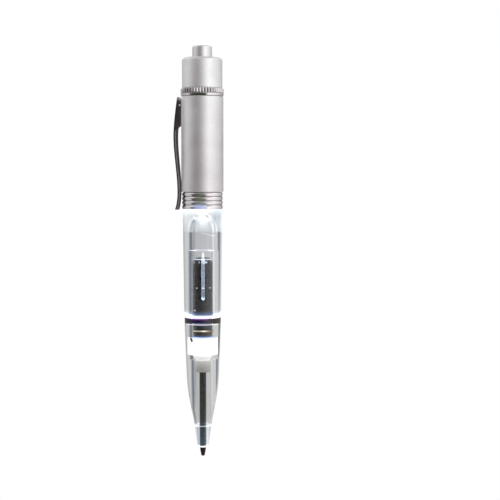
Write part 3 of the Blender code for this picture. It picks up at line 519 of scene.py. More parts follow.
# tail cap, with a helical thread on its spigot
capShape = {"foot": span("knurled_ring")[2] + seat, "spigot": 6.1, "bore": 5.15, "chamber": 4.75,
            "chamberTop": capTop - 1.4, "ledge": span("switch_housing")[2] + seat, "buttonHole": 3.37,
            "rounds": {1: 0.12, 5: 0.15, 6: 1.1, 7: 0.12}}
threadShape = {"root": 5.82, "sunk": 0.1, "start": 0.9, "runOut": 0.3, "pitch": 1.25, "turns": 4,
               "stepsEach": 72, "crestLow": 0.38, "crestHigh": 0.52, "end": 0.9}


def makeTailCap():
    c = named(capShape)
    radius, low, top = span("tail_cap")
    neck = c.foot - threadShape["pitch"]
    outline = stepped((threadShape["root"], low, neck), (c.spigot, neck + threadShape["runOut"], c.foot),
                      (radius, c.foot, top), (c.buttonHole, top, c.chamberTop),
                      (c.chamber, c.chamberTop, c.ledge), (c.bore, c.ledge, low))
    addPiece("tailCap", lathe(outline, c.rounds), satinAluminium, "cap", "tail_cap")


def makeCapThread():
    t = named(threadShape)
    root, spigot = t.root - t.sunk, capShape["spigot"]
    start, pitch = span("tail_cap")[1] + t.start, t.pitch
    profile = [(root, 0), (spigot, t.crestLow), (spigot, t.crestHigh), (root, t.end)]
    ridge = bmesh.new()
    corners = drawCorners(ridge, [(r, 0, start + pitch * share) for r, share in profile])
    joinUp(ridge, corners)
    # the starting face stays as one end and the last step makes the other
    ridge.faces.new(corners)
    wind(ridge, t.turns, t.turns * pitch, t.stepsEach)
    addPiece("capThread", tidyMesh(ridge), satinAluminium, "cap", None)


# knurled ring: a rim that faces down a little, and rounded teeth above it
knurlShape = {"bore": 6.15, "rim": 0.9, "rimSlant": 0.26, "chamfer": 0.2, "depth": 0.3, "teeth": 46,
              "stepsEach": 10, "rounds": {2: 0.08}}


def knurlShade(at):
    # painted shade between the teeth; the plain rim and the top edge are left light
    crest, low, top = span("knurled_ring")
    root, rimTop, edge = crest - knurlShape["depth"], low + knurlShape["rim"], top - knurlShape["chamfer"]
    teeth = ramp(at.out, [(root, (0.44, 0.41, 0.42)), (root + 0.12, (0.66, 0.62, 0.64)),
                          (crest - 0.06, (0.95, 0.91, 0.93)), (crest, (0.97, 0.93, 0.95))])
    plain = ramp(at.height, [(low, (0.85, 0.77, 0.84)), (rimTop - 0.2, (0.88, 0.82, 0.86)), (rimTop, 0),
                             (edge, 0), (edge + 0.1, 0.9), (top, 0.9)])
    return joined("MAXIMUM", (teeth, plain))


def makeKnurledRing():
    k = named(knurlShape)
    radius, low, top = span("knurled_ring")
    bore, chamfer, depth, steps = k.bore, k.chamfer, k.depth, k.stepsEach
    rimTop, root = low + k.rim, radius - depth
    outline = [(bore, low), (radius - k.rimSlant, low), (radius, rimTop - chamfer), (root, rimTop),
               (radius, rimTop + chamfer), (radius, top - chamfer), (root, top), (bore, top)]
    bm = lathe(outline, k.rounds, k.teeth * steps)
    toothed = [v for v in bm.verts
               if v.co.z > (rimTop + chamfer / 2) * mm and v.co.xy.length > (root + depth / 2) * mm]
    rows = [[] for step in range(steps)]
    for corner in toothed:
        around = corner.co.xy.angle_signed(Vector((1, 0))) / tau * k.teeth * steps
        rows[round(around) % steps].append(corner)
    for step, row in enumerate(rows):
        share = 1 - depth / radius * (1 - cos(tau * step / steps)) / 2
        bmesh.ops.scale(bm, vec=(share, share, 1), verts=row)
    finish = metal("knurlChrome", knurlShade, grain(1500, 0.2, 0.08, 0.04, 0.03), 0.05)
    addPiece("knurledRing", bm, finish, "cap", "knurled_ring", sharp=40)


# upper barrel, a drawn tube with a slot for the clip's tongue
barrelShape = {"bore": 6.2, "rounds": {1: 0.22, 2: 0.42, 0: 0.1, 3: 0.1}, "slotWidth": 2.8,
               "slotHeight": 1.0, "slotMiddle": barrelTop - 1.1, "spare": 1, "steps": 160}


def makeUpperBarrel():
    b = named(barrelShape)
    radius, low, top = span("upper_barrel")
    half, rise, middle = b.slotWidth / 2, b.slotHeight / 2, b.slotMiddle
    slot = block((-radius - b.spare, -half, middle - rise), (-b.bore + b.spare, half, middle + rise))
    bm = combine(tube(b.bore, radius, low, top, b.rounds, b.steps), slot, "DIFFERENCE")
    addPiece("upperBarrel", bm, satinAluminium, "main_barrel", "upper_barrel")


# pocket clip: a channel drawn in from its crest to its waist, with cheeks at the head
clipShape = {"barrel": 7.0, "gap": 0.45, "endGap": 0.25, "foot": span("pocket_clip")[1],
             "top": span("pocket_clip")[2], "crest": barrelTop - 13, "waist": barrelTop - 31.7,
             "topStand": 1.2, "crestStand": 2.47, "waistStand": 1.20, "tipStand": 2.0, "depth": 1.35,
             "waistDepth": 1.15, "skin": 0.55, "cheekFoot": barrelTop - 10.8, "cheekSlant": 1.1,
             "headWidth": 5.0, "tipWidth": 3.8, "sections": 72, "edgeAngle": 40, "edge": 0.16, "inset": 0.05,
             "tongueWidth": 2.4, "tongueThickness": 0.6, "tongueMiddle": barrelTop - 1.1}
rivetShape = {"height": barrelTop - 2.95, "out": 7.4, "radius": 0.36, "flat": 0.6, "sunk": 0.05,
              "segments": 24, "rings": 12}


def between(first, last, share):
    return first + (last - first) * share


def clipStand(z):
    # how far the clip's back stands off the barrel
    c = named(clipShape)
    if z > c.crest:
        return between(c.crestStand, c.topStand, ((z - c.crest) / (c.top - c.crest)) ** 1.5)
    if z > c.waist:
        share = (c.crest - z) / (c.crest - c.waist)
        return between(c.crestStand, c.waistStand, 3 * share**2 - 2 * share**3)
    return between(c.waistStand, c.tipStand, ((c.waist - z) / (c.waist - c.foot)) ** 2)


def clipDepth(z):
    c = named(clipShape)
    return between(c.waistDepth, c.depth, min(1, abs(z - c.waist) / (c.crest - c.waist)))


def clipSection(z):
    # the channel's outline at one height, open towards the barrel, its walls longer at the cheeks
    c = named(clipShape)
    outer = -(c.barrel + clipStand(z))
    half = between(c.headWidth, c.tipWidth, (c.top - z) / (c.top - c.foot)) / 2
    drop = min(1, max(0, (z - c.cheekFoot) / c.cheekSlant))
    ease = 1 - sqrt(1 - drop**2)    # a round inner corner under the cheek

    def wallEnd(y):
        cheek = -sqrt((c.barrel + c.gap) ** 2 - y**2)
        return between(outer + clipDepth(z), cheek, ease)

    inner, back = half - c.skin, outer + c.skin
    return [(wallEnd(half), -half), (outer, -half), (outer, half), (wallEnd(half), half),
            (wallEnd(inner), inner), (back, inner), (back, -inner), (wallEnd(inner), -inner)]


def clipTint(at):
    # dark plating, with a painted highlight in a line along the strip's side and at the knuckle
    foot, top, cheekFoot = clipShape["foot"], clipShape["top"], clipShape["cheekFoot"]
    reach, count = 10, 24
    heights = [between(foot, top, step / count) for step in range(count + 1)]
    middles = [(z, (clipShape["barrel"] + clipStand(z) - clipDepth(z) / 2) / reach) for z in heights]
    # painted highlight along the middle of the strip's side
    off = calculate("MULTIPLY_ADD", at.side, 1 / (reach * mm), ramp(at.height, middles))
    sheenLine = ramp(calculate("ABSOLUTE", off),
                  [(0, (0.45, 0.42, 0.43)), (0.14, (0.36, 0.33, 0.34)), (0.3, 0)], 1 / reach)
    strip = fade(at.height, cheekFoot - 0.2, cheekFoot - 0.8)
    # painted highlight at the knuckle
    knuckle = ramp(at.height, over(top, [
        (-1.7, 0), (-1.0, (0.22, 0.20, 0.21)), (-0.6, (0.62, 0.60, 0.61)), (0, (0.68, 0.66, 0.67))]))
    plating = mix(speckle(at, 900.0, 0.0, 1.0), (0.085, 0.08, 0.086, 1), (0.125, 0.10, 0.108, 1))
    return plus(plating, times(sheenLine, strip), knuckle)


def makePocketClip():
    c = named(clipShape)
    foot, top, skin, inset = c.foot, c.top, c.skin, c.inset
    bm = bmesh.new()
    loops = []
    for step in range(c.sections + 1):
        z = between(top, foot, step / c.sections)
        loops.append(joinUp(bm, drawCorners(bm, [(x, y, z) for x, y in clipSection(z)])))
    for one, other in zip(loops, loops[1:]):
        bmesh.ops.bridge_loops(bm, edges=one + other)
    for end in (loops[0], loops[-1]):
        bmesh.ops.contextual_create(bm, geom=end)
    tidyMesh(bm)
    outerEdges = [e for e in bm.edges
                  if len(e.link_faces) == 2 and e.calc_face_angle(0) > radians(c.edgeAngle)]
    bevel(bm, outerEdges, c.edge, clamp=True)

    # end walls close the channel at the head and at the tip
    for z, inwards in ((top, -1), (foot, 1)):
        section = clipSection(z)
        near = min(section[0][0], -c.barrel - c.endGap)
        outer, half = section[2][0] + inset, section[2][1] - inset
        rim = [(near, -half), (outer, -half), (outer, half), (near, half)]
        wall = prism([(x, y, z + inwards * inset) for x, y in rim], (0, 0, inwards * skin))
        bm = combine(bm, wall, "UNION")

    half, thick, middle = c.tongueWidth / 2, c.tongueThickness / 2, c.tongueMiddle
    outer = c.barrel + clipStand(middle) - skin / 2
    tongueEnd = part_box("pocket_clip")[1].x / mm
    bm = combine(bm, block((-outer, -half, middle - thick), (tongueEnd, half, middle + thick)), "UNION")
    finish = metal("blackNickel", clipTint, grain(2500, 0.08, 0.30, 0.24, 0.12), 0.15)
    addPiece("pocketClip", bm, finish, "clip", "pocket_clip")


def makeClipRivets():
    # a head on each cheek
    r = named(rivetShape)
    rivets = bmesh.new()
    aside = clipShape["headWidth"] / 2 - r.sunk
    for y in (-aside, aside):
        addBall(rivets, r.radius, (-r.out, y, r.height), r.segments, r.rings, r.flat)
    addPiece("clipRivets", rivets, brightChrome, "clip", None)


# grooved ring: four even ridges, the lowest with a lip over the guide's edge, and a spigot in the barrel
grooveShape = {"bore": 5.3, "spigot": 6.15, "ridgeTop": barrelFoot - seat, "ridges": 4, "depth": 0.30,
               "lip": 0.25, "lipBore": 6.64, "lipSlant": 0.06, "crestLow": 0.45, "crestHigh": 0.56,
               "crestRound": 0.14, "steps": 160}


def grooveShade(at):
    # painted shade in the grooves between bright ridges
    return ramp(at.out, over(span("grooved_ring")[0], [
        (-0.31, (0.20, 0.17, 0.18)), (-0.26, (0.42, 0.38, 0.40)), (-0.19, (0.88, 0.83, 0.86)),
        (0, (0.97, 0.93, 0.95))]))


def grooveGlow(at):
    # the guide's light on the lowest ridges
    along = ramp(at.height, over(span("grooved_ring")[1], [
        (0, (0.36, 0.42, 0.72)), (0.5, (0.30, 0.35, 0.66)), (1.2, (0.14, 0.17, 0.28)),
        (1.8, (0.06, 0.07, 0.08)), (3, (0.01, 0.015, 0.005)), (4.5, 0)]))
    return times(band(at.side, (-3.4, -1.6, 0.9, 1.9)), along)


def makeGroovedRing():
    g = named(grooveShape)
    radius, low, top = span("grooved_ring")
    lipFoot, root = low - g.lip, radius - g.depth
    pitch = (g.ridgeTop - lipFoot) / g.ridges
    outline = [(g.bore, low), (g.lipBore, low), (g.lipBore, lipFoot), (root + g.lipSlant, lipFoot)]
    rounds = {}
    for ridge in range(g.ridges):
        foot = lipFoot + ridge * pitch
        crest = len(outline)
        rounds.update({crest: g.crestRound, crest + 1: g.crestRound})
        outline += [(radius, foot + g.crestLow * pitch), (radius, foot + g.crestHigh * pitch),
                    (root, foot + pitch)]
    outline += [(g.spigot, g.ridgeTop), (g.spigot, top), (g.bore, top)]
    finish = metal("ringChrome", grooveShade, grain(1500, 0.2, 0.08, 0.05, 0.04), 0.05, 1.0, grooveGlow)
    bm = lathe(outline, rounds, g.steps)
    addPiece("groovedRing", bm, finish, "main_barrel", "grooved_ring", sharp=50)


# light guide: solid round the lamp, a bullet-nosed bore, a counterbore, and a rib down the front
guideShape = {"topRadius": 6.6, "footRadius": 6.15, "spigot": 5.25, "footSpigot": 4.44, "bore": 3.40,
              "counterbore": 3.62, "pocket": 2.6, "bulletSteps": 18, "topRound": 0.12, "footRound": 0.22,
              "boreRound": 0.12, "ribSide": 0.28, "ribHalf": 0.42, "ribInner": 3.05, "ribOuter": 4.13,
              "ribEdge": 0.14, "ribSteps": 12, "ribOverlap": 0.1, "ribSlack": 0.01, "steps": 160}


def boreLight(at):
    # on the bullet and at the bore's step
    beam = ramp(at.side, [(-3.6, 0.3), (-2.3, 0.35), (-1.8, 0.1), (-1.4, 0.35), (-0.9, 1), (1.4, 1),
                          (2.1, 0.25), (3.6, 0)])
    bullet = ramp(at.height, [
        *over(bulletFoot, [(-0.6, 0), (0, 0.02), (1.6, (0.08, 0.10, 0.11)), (3.6, (0.19, 0.20, 0.21))]),
        *over(bulletTop, [(-1.2, 0.28), (0, 0.5)]), (pocketFloor, 0.9)])
    across = ramp(at.side, [(-3.25, 0), (-3.13, 1.2), (-2.3, 1.2), (-1.8, 0.45), (1.6, 0.45), (2.1, 1.1),
                            (3.0, 1.1), (3.12, 0)])
    step = band(at.height, (-0.08, 0.03, 0.1, 0.22), (0.72, 0.71, 0.9), boreStep)
    return times(plus(times(beam, bullet), times(across, step)), fade(at.out, 4.7, 4.6))


def outerLight(at):
    # a bright foot rim, and a haze that grows to the top
    foot = ramp(at.height, over(guideFoot, [(0, 0.9), (0.85, 0.9), (1.2, (0.07, 0.11, 0.15)), (2.6, 0)]))
    haze = ramp(at.height, [
        *over(bulletFoot, [(-0.1, 0), (0.4, (0.035, 0.045, 0.05))]),
        *over(guideTop, [(-4.5, (0.075, 0.09, 0.095)), (-2.8, (0.10, 0.12, 0.13)),
                         (-1.5, (0.20, 0.225, 0.24)), (-0.6, (0.33, 0.37, 0.42)), (0, (0.5, 0.54, 0.6))])])
    haze = times(haze, ramp(at.side, [(-7, 1), (4.2, 0.8)]), speckle(at, 420.0, 0.6, 1.3))

    # the left flank beside the bullet, and the right side flooded where it faces the front
    left = ramp(at.height, over(bulletFoot, [
        (-0.1, 0), (0.3, (0.22, 0.23, 0.25)), (2.4, (0.16, 0.165, 0.18)), (4.2, 0.03), (5, 0)]))
    left = times(left, band(at.side, (-4.6, -4.1, -3.3, -2.9)))
    right = ramp(at.height, [
        *over(bulletFoot, [(-0.1, 0), (0.4, (0.26, 0.29, 0.30)), (2.4, (0.30, 0.33, 0.34))]),
        *over(guideTop, [(-2.6, (0.19, 0.21, 0.22)), (-1, (0.12, 0.13, 0.14)), (0, 0)])])
    right = times(right, ramp(at.side, [(4.3, 0), (4.9, 1), (5.4, 1), (6, 1.6)]), fade(at.depth, 0.2, -0.3))

    # a line down the right edge below, and a thin slanting one on the front where the lit part ends
    reach = band(at.height, (guideFoot + 0.9, guideFoot + 1.2, bulletFoot, bulletFoot + 0.6))
    slant = calculate("MULTIPLY_ADD", at.side, 0.26, at.height)
    seam = band(slant, (-0.28, -0.16, -0.08, 0.04), 0.45, bulletFoot)
    along = ramp(at.side, [(-0.6, 0), (0.6, 0.5), (2.6, 0.6), (3.4, 1), (4.1, 1), (4.4, 0)])
    lines = plus(times(edgeHighlight(at), reach), times(seam, along, fade(at.depth, -2.5, -3)))
    return times(plus(foot, haze, left, right, lines), fade(at.out, 5.9, 6))


def ribLight(at):
    # along the rib's edges, at its foot, at a pin, and in a thin line above the collar
    middle, half, pin = guideShape["ribSide"], guideShape["ribHalf"], ribFoot + 3.9
    edges = ramp(at.side, over(middle, [
        (-half, (0.18, 0.26, 0.36)), (-half * 0.5, (0.19, 0.26, 0.38)), (half * 0.4, (0.29, 0.36, 0.50)),
        (half, (0.26, 0.31, 0.42))]))
    lower = ramp(at.height, [
        *over(ribFoot, [(-0.1, 0), (0, 3), (0.7, 3), (1.1, 0.6), (3, 0.9)]),
        *over(collarTop, [(-1.9, 1.1), (-1.6, 2.2), (-0.2, 2.2), (0, 0)])])
    line = band(at.side, (-0.4, -0.2, 0.2, 0.4), 0.7, middle)
    upper = ramp(at.height, [(collarTop - 0.1, 0), (collarTop, 1), (boreStep - 0.9, 0.6),
                             (boreStep - 0.2, 0)])
    glint = band(at.height, (-0.4, -0.2, 0.2, 0.4), 0.9, pin)
    lit = plus(times(edges, speckle(at, 1800.0, 0.45, 1.4), lower), times(line, plus(upper, glint)))
    return times(lit, fade(at.out, 3.6, 3.5))


def guideGlow(at):
    return plus(boreLight(at), outerLight(at), ribLight(at))


def makeLightGuide():
    g = named(guideShape)
    low, top = span("light_guide")[1:]
    quarter = quarterTurn(g.bulletSteps)
    pocket = [(g.pocket * sin(a), pocketFloor + g.pocket * (1 - cos(a))) for a in quarter]
    bullet = [(g.bore * cos(a), bulletFoot + (bulletTop - bulletFoot) * sin(a)) for a in quarter[:-1]]
    walls = [(g.pocket, top), (g.spigot, top), (g.spigot, guideTop), (g.topRadius, guideTop),
             (g.footRadius, guideFoot), (g.footSpigot, guideFoot), (g.footSpigot, low),
             (g.counterbore, low), (g.counterbore, boreStep), (g.bore, boreStep)]
    first = len(pocket)
    rounds = {first + 3: g.topRound, first + 4: g.footRound, first + 8: g.boreRound,
              first + 9: g.boreRound}
    body = lathe([*pocket, *walls, *bullet, (0, bulletTop)], rounds, g.steps)

    half, head, inner = g.ribHalf, boreStep + g.ribOverlap, g.ribInner
    arc = [pi + pi * step / g.ribSteps for step in range(g.ribSteps + 1)]
    face = [(half * cos(a), ribFoot + half + half * sin(a)) for a in arc] + [(half, head), (-half, head)]
    rib = prism([(g.ribSide + x, -g.ribOuter, z) for x, z in face], (0, g.ribOuter - inner, 0))
    nearest = -(inner + g.ribSlack) * mm
    bevel(rib, [e for e in rib.edges if all(v.co.y > nearest for v in e.verts)], g.ribEdge)
    finish = clear("guideAcrylic", (0.85, 0.86, 0.875), smear(220, 0.0, 0.05), guideGlow)
    bm = combine(body, rib, "UNION")
    addPiece("lightGuide", bm, finish, "main_barrel", "light_guide")


# rings round the twist housing
ringShapes = {
    "centring_ring": {"piece": "centringRing", "slot": "clear_acrylic", "bore": 3.43, "radius": 3.58,
                      "rounds": {2: 0.05, 3: 0.05}, "steps": 128},
    "joint_ring": {"piece": "jointRing", "slot": "black_gloss", "bore": 4.49,
                   "radius": span("joint_ring")[0], "rounds": {1: 0.18, 2: 0.18}, "steps": 160},
    "friction_ring": {"piece": "frictionRing", "slot": "brass", "bore": 2.95,
                      "radius": span("friction_ring")[0], "rounds": {1: 0.2, 2: 0.2}, "steps": 128},
}


def centringGlow(at):
    return ramp(at.height, over(guideFoot, [(0, (0.004, 0.012, 0.05)), (2, (0.002, 0.004, 0.01))]))


def jointTint(at):
    # black, with painted brown light growing towards the right side
    return ramp(at.side, [(-6, (0.010, 0.010, 0.014)), (2, (0.006, 0.005, 0.012)),
                          (4, (0.022, 0.014, 0.010)), (6, (0.045, 0.036, 0.026))])


def jointGlow(at):
    # a purple gleam under the guide's bright foot, and a navy one below
    low, top = span("joint_ring")[1:]
    along = ramp(at.height, [
        *over(low, [(0, (0.004, 0.006, 0.075)), (0.45, (0.003, 0.004, 0.05))]),
        *over(top, [(-0.55, (0.004, 0.001, 0.012)), (-0.3, (0.06, 0.006, 0.10)), (0, (0.26, 0.06, 0.36))])])
    return times(band(at.side, (-4.4, -3, 1.4, 2.6)), along)


def frictionGlow(at):
    # two soft gleams on the front of the brass ring
    low, top = span("friction_ring")[1:]
    along = ramp(at.height, [(low + 0.12, 0), (low + 0.26, 1), (top - 0.08, 1), (top, 0.7)])
    gleams = ramp(at.side, [
        (-3, (0.05, 0.045, 0.035)), (-2.4, (0.5, 0.48, 0.40)), (-1.4, (0.42, 0.41, 0.35)),
        (-0.6, (0.48, 0.47, 0.40)), (0, (0.95, 0.92, 0.82)), (0.5, (1.2, 1.15, 1.0)), (1, (0.9, 0.82, 0.68)),
        (1.6, (0.4, 0.34, 0.26)), (2.3, (0.1, 0.08, 0.06)), (3, 0.02)])
    return times(gleams, along)


def makeHousingRings():
    finishes = {
        "centring_ring": clear("ringAcrylic", (0.16, 0.26, 0.62), smear(220, 0.0, 0.05), centringGlow),
        "joint_ring": plastic("jointBlack", jointTint, smear(240, 0.06, 0.18), 0.3, 0.2, jointGlow),
        "friction_ring": metal("litBrass", (0.36, 0.28, 0.16), grain(2500, 3, 0.15, 0.26, 0.1),
                               glow=frictionGlow),
    }
    for node, r in ringShapes.items():
        low, top = span(node)[1:]
        ring = tube(r["bore"], r["radius"], low, top, r["rounds"], r["steps"])
        addPiece(r["piece"], ring, finishes[node], "main_barrel", node)


# twist housing: a slotted black tube, with small studs that glow as painted glints
housingShape = {"bore": 2.5, "neck": 3.2, "neckTop": guideFoot - seat, "radius": 3.38, "grooveRoot": 2.9,
                "grooveLow": span("friction_ring")[1] - seat, "grooveTop": span("friction_ring")[2] + seat,
                "slotHalf": 0.8, "slotFoot": ribFoot - 0.15, "spare": 1, "rounds": {1: 0.1, 8: 0.35, 9: 0.1}}
studShape = {"radius": 0.26, "segments": 20, "rings": 10,
             "places": ((-27, ribFoot + 3.9), (39, ribFoot + 4), (-38, ribFoot - 3.5))}


def housingTint(at):
    # painted brown reflection behind the neck, painted blue light just over the foot, mottled black above
    along = ramp(at.height, [
        *over(span("friction_ring")[1], [(0, (0.10, 0.058, 0.050)), (0.6, (0.016, 0.020, 0.022))]),
        *over(guideFoot, [(0, (0.02, 0.04, 0.14)), (1, (0.02, 0.04, 0.14)), (2, (0.040, 0.030, 0.029)),
                          (8, (0.024, 0.026, 0.030))])])
    return times(along, speckle(at, 700.0, 0.5, 1.5))


def housingGlow(at):
    # glints on the rounded top edge, beside the rib and out at the sides; blue at the foot over the bush
    low, top = span("twist_housing")[1:]
    glints = ramp(at.side, [(-2.75, 0), (-2.35, 0.4), (-1.9, 0), (-1.1, 0.03), (-0.7, 1), (1.1, 1),
                            (1.35, 0.6), (1.6, 0), (2.2, 0), (2.5, 0.12), (2.8, 0)])
    edge = band(at.height, (-0.75, -0.5, -0.1, 0), 1, top)
    foot = ramp(at.height, over(low, [(0, (0.04, 0.15, 0.38)), (0.3, (0.03, 0.12, 0.32)), (0.6, 0)]))
    return plus(times(glints, edge), foot)


def makeTwistHousing():
    h = named(housingShape)
    low, top = span("twist_housing")[1:]
    outline = stepped((h.neck, low, h.grooveLow), (h.grooveRoot, h.grooveLow, h.grooveTop),
                      (h.neck, h.grooveTop, h.neckTop), (h.radius, h.neckTop, top),
                      (h.bore, top, low))
    slot = block((-h.slotHalf, -h.radius - h.spare, h.slotFoot),
                 (h.slotHalf, -h.bore / 2, top + h.spare))
    bm = combine(lathe(outline, h.rounds), slot, "DIFFERENCE")
    finish = plastic("housingBlack", housingTint, smear(240, 0.12, 0.30), 0.6, 0.2, housingGlow)
    addPiece("twistHousing", bm, finish, "main_barrel", "twist_housing")


def makeHousingStuds():
    s = named(studShape)
    studs = bmesh.new()
    out = housingShape["radius"]
    for angle, height in s.places:
        spot = (out * sin(radians(angle)), -out * cos(radians(angle)), height)
        addBall(studs, s.radius, spot, s.segments, s.rings)
    # the studs glow evenly: painted glints
    finish = plastic("litStud", (0.75, 0.76, 0.78), smear(300, 0.10, 0.2), 0.1, 0.0, (0.30, 0.31, 0.33))
    addPiece("housingStuds", studs, finish, "main_barrel", None)


# cam collar, with a chamfered top that catches the lamp
collarShape = {"bore": 2.45, "chamfer": 0.4, "rounds": {1: 0.08, 2: 0.08, 3: 0.1}}


def collarGlow(at):
    # the lamp's line along the chamfer
    return ramp(at.height, over(collarTop, [
        (-0.7, 0), (-0.5, (0.85, 0.92, 1)), (-0.3, (0.85, 0.92, 1)), (-0.12, (0.02, 0.03, 0.05)),
        (0, (0.05, 0.08, 0.13))]))


def makeCamCollar():
    bore, chamfer = collarShape["bore"], collarShape["chamfer"]
    radius, low, top = span("cam_collar")
    outline = [(bore, low), (radius, low), (radius, top - chamfer), (radius - chamfer, top), (bore, top)]
    finish = plastic("collarBlack", (0.022, 0.024, 0.030), smear(240, 0.10, 0.26), 0.4, 0.2, collarGlow)
    bm = lathe(outline, collarShape["rounds"])
    addPiece("camCollar", bm, finish, "front", "cam_collar")


# twist driver: a boss, a bowl over it, and a bush that grips the cone's pocket, a touch over size there
driverShape = {"bore": 1.29, "boss": 2.66, "bowlFoot": 1.85, "bowlTop": 3.15, "bowlSteps": 10,
               "bushGrip": 3.40, "camSeat": 2.45, "camFoot": span("twist_cam")[1] - seat,
               "bossFootRound": 0.5, "bossTopRound": 0.1, "bushRound": 0.12}
bushMarkShape = {"size": (0.8, 0.14, 1.4), "edge": 0.08, "drop": 0.85, "lean": -34, "turn": -60}


def driverGlow(at):
    # the bush and its bowl are flooded by the lamp, the boss under them less
    return ramp(at.height, [
        *over(neckFoot, [(-4, 0.04), (-2.2, 0.12), (-0.6, 0.28), (-0.2, 0.36), (0, 0.2), (0.3, 0.62)]),
        *over(bushFoot, [(-0.5, 0.72), (0, 0.92)]), *over(bushTop, [(-0.6, 0.92), (0, (0.55, 0.7, 0.95))])])


def makeTwistDriver():
    d = named(driverShape)
    low, top = span("twist_driver")[1:]
    bowl = [(between(d.bowlFoot, d.bowlTop, sin(a)), between(bushFoot, neckFoot, cos(a)))
            for a in quarterTurn(d.bowlSteps)]
    outline = [(d.bore, low), (d.boss, low), (d.boss, neckFoot), *bowl, (d.bushGrip, bushFoot),
               (d.bushGrip, top), (d.camSeat, top), (d.camSeat, d.camFoot), (d.bore, d.camFoot)]
    rounds = {1: d.bossFootRound, 2: d.bossTopRound, 4 + len(bowl): d.bushRound}
    finish = plastic("whiteAcetal", (0.80, 0.80, 0.78), smear(260, 0.32, 0.5), 0.06, 0.0, driverGlow)
    addPiece("twistDriver", lathe(outline, rounds), finish, "front", "twist_driver")


def makeBushMark():
    # a small dark block near the bush's top edge
    m = named(bushMarkShape)
    half = [side / 2 for side in m.size]
    mark = block([-side for side in half], half)
    bevel(mark, mark.edges[:], m.edge)
    turn(mark, m.lean, "Y")
    shift(mark, (0, -driverShape["bushGrip"], bushTop - m.drop), mark.verts)
    turn(mark, m.turn, "Z")
    addPiece("bushMark", mark, blackGloss, "front", None)


# front cone: an ogive of clear plastic over the refill
coneShape = {"mouthRadius": 1.9, "mouthBore": 1.3, "nose": 2.83, "shoulder": 5.42, "shoulderRise": 25.2,
             "upperReach": 0.45, "lowerReach": 0.225, "curveSteps": 28, "topRadius": 6.05,
             "mouthPocket": 3.55, "pocket": 3.38, "pocketDrop": 1.5, "bore": 2.95, "throatRise": 5.2,
             "throat": 2.2, "noseBore": 1.6, "steps": 160, "mouthRound": 0.25,
             "innerRounds": {0: 0.15, 5: 0.08, 6: 0.4, 7: 0.15, 8: 0.12}}


def coneInside(at):
    # light caught at the mouth, in the nose, at its inner step, under the bush and at the top edge
    mouth, top = span("front_cone")[1:]
    along = ramp(at.height, [
        *over(mouth, [(-0.3, 0.6), (0.3, 0.6), (0.7, (0.008, 0.018, 0.028))]), (noseTop + 2.5, 0),
        *over(bushFoot, [(-1.67, 0), (-1.55, 0.3), (-1.43, 0)]),
        *over(top, [(-0.6, 0), (-0.48, (0.75, 0.77, 0.82)), (-0.2, (0.75, 0.77, 0.82)), (-0.06, 0)])])
    nose = ramp(at.height, [(mouth + 0.5, (0.028, 0.034, 0.042)), *over(noseTop, [
        (-0.4, (0.026, 0.029, 0.034)), (-0.2, (0.26, 0.28, 0.31)), (0.1, (0.26, 0.28, 0.31)),
        (0.4, (0.02, 0.025, 0.03)), (3, 0)])])
    beside = ramp(at.side, [(-3, 1), (-1.5, 1), (-1, 0.25), (0.9, 0.25), (1.3, 0.9), (3, 0.7)])
    return times(plus(along, times(nose, beside)), fade(at.out, 4.4, 4.3))


def coneGlow(at):
    # besides the light inside, a line down the right edge, and a nose that pales towards both its edges
    reach = band(at.height, (noseTop + 4, noseTop + 8, bushFoot - 1, bushFoot + 0.5), 0.7)
    line = times(edgeHighlight(at), reach, fade(at.out, 3.6, 3.7))
    share = calculate("DIVIDE", at.side, at.out)
    pale = ramp(share, [(-0.94, 1), (-0.87, 0), (0.83, 0), (0.92, 1)], 1)
    tip = ramp(at.height, [(span("front_cone")[1] + 0.6, 0.26), (noseTop - 0.1, 0.26), (noseTop + 0.5, 0)])
    edges = times(pale, fade(at.depth, 0, -0.1), tip, fade(at.out, 1.75, 1.85))
    return plus(coneInside(at), line, edges)


def bezierPoint(points, t):
    weights = ((1 - t) ** 3, 3 * t * (1 - t) ** 2, 3 * t * t * (1 - t), t**3)
    return tuple(sum(w * p[axis] for w, p in zip(weights, points)) for axis in (0, 1))


def makeFrontCone():
    c = named(coneShape)
    low, top = span("front_cone")[1:]
    shoulderTop = low + c.shoulderRise
    drop = shoulderTop - noseTop
    noseSlope = (c.nose - c.mouthRadius) / (noseTop - low)
    upperSlope = (c.topRadius - c.shoulder) / (top - shoulderTop)
    up, down = c.lowerReach * drop, c.upperReach * drop
    handles = [(c.nose, noseTop), (c.nose + noseSlope * up, noseTop + up),
               (c.shoulder - upperSlope * down, shoulderTop - down), (c.shoulder, shoulderTop)]
    ogive = [bezierPoint(handles, step / c.curveSteps) for step in range(c.curveSteps + 1)]
    pocketFoot = bushFoot - c.pocketDrop
    ledge = bushTop + seat / 2
    outer = [(c.mouthBore, low), (c.mouthRadius, low), *ogive]
    inner = [(c.topRadius, top), (c.mouthPocket, top), (c.mouthPocket, ledge), (c.pocket, ledge),
             (c.pocket, pocketFoot), (c.bore, pocketFoot), (c.bore, noseTop + c.throatRise),
             (c.throat, noseTop), (c.noseBore, noseTop)]
    rounds = {1: c.mouthRound}
    rounds.update({len(outer) + corner: radius for corner, radius in c.innerRounds.items()})
    finish = clear("coneAcrylic", (0.85, 0.85, 0.845), smear(220, 0.0, 0.06), coneGlow)
    bm = lathe(outer + inner, rounds, c.steps)
    addPiece("frontCone", bm, finish, "front", "front_cone")


# refill: a dark tube, its ink, a turned tip and the ball
refillShape = {"bore": 0.79, "drawn": 0.07, "rounds": {1: 0.08, 2: 0.08}, "steps": 64,
               "inkRounds": {2: 0.2}, "inkSteps": 48}
tipShape = {"radius": 1.06, "coneTop": 2.9, "shank": 0.71, "shankFoot": noseTop + 0.2, "rim": 0.58,
            "ballSeat": 0.40, "seatTop": 0.75, "channel": 0.2, "rounds": {4: 0.3, 5: 0.08, 7: 0.1},
            "steps": 64, "ballSegments": 32, "ballRings": 20}


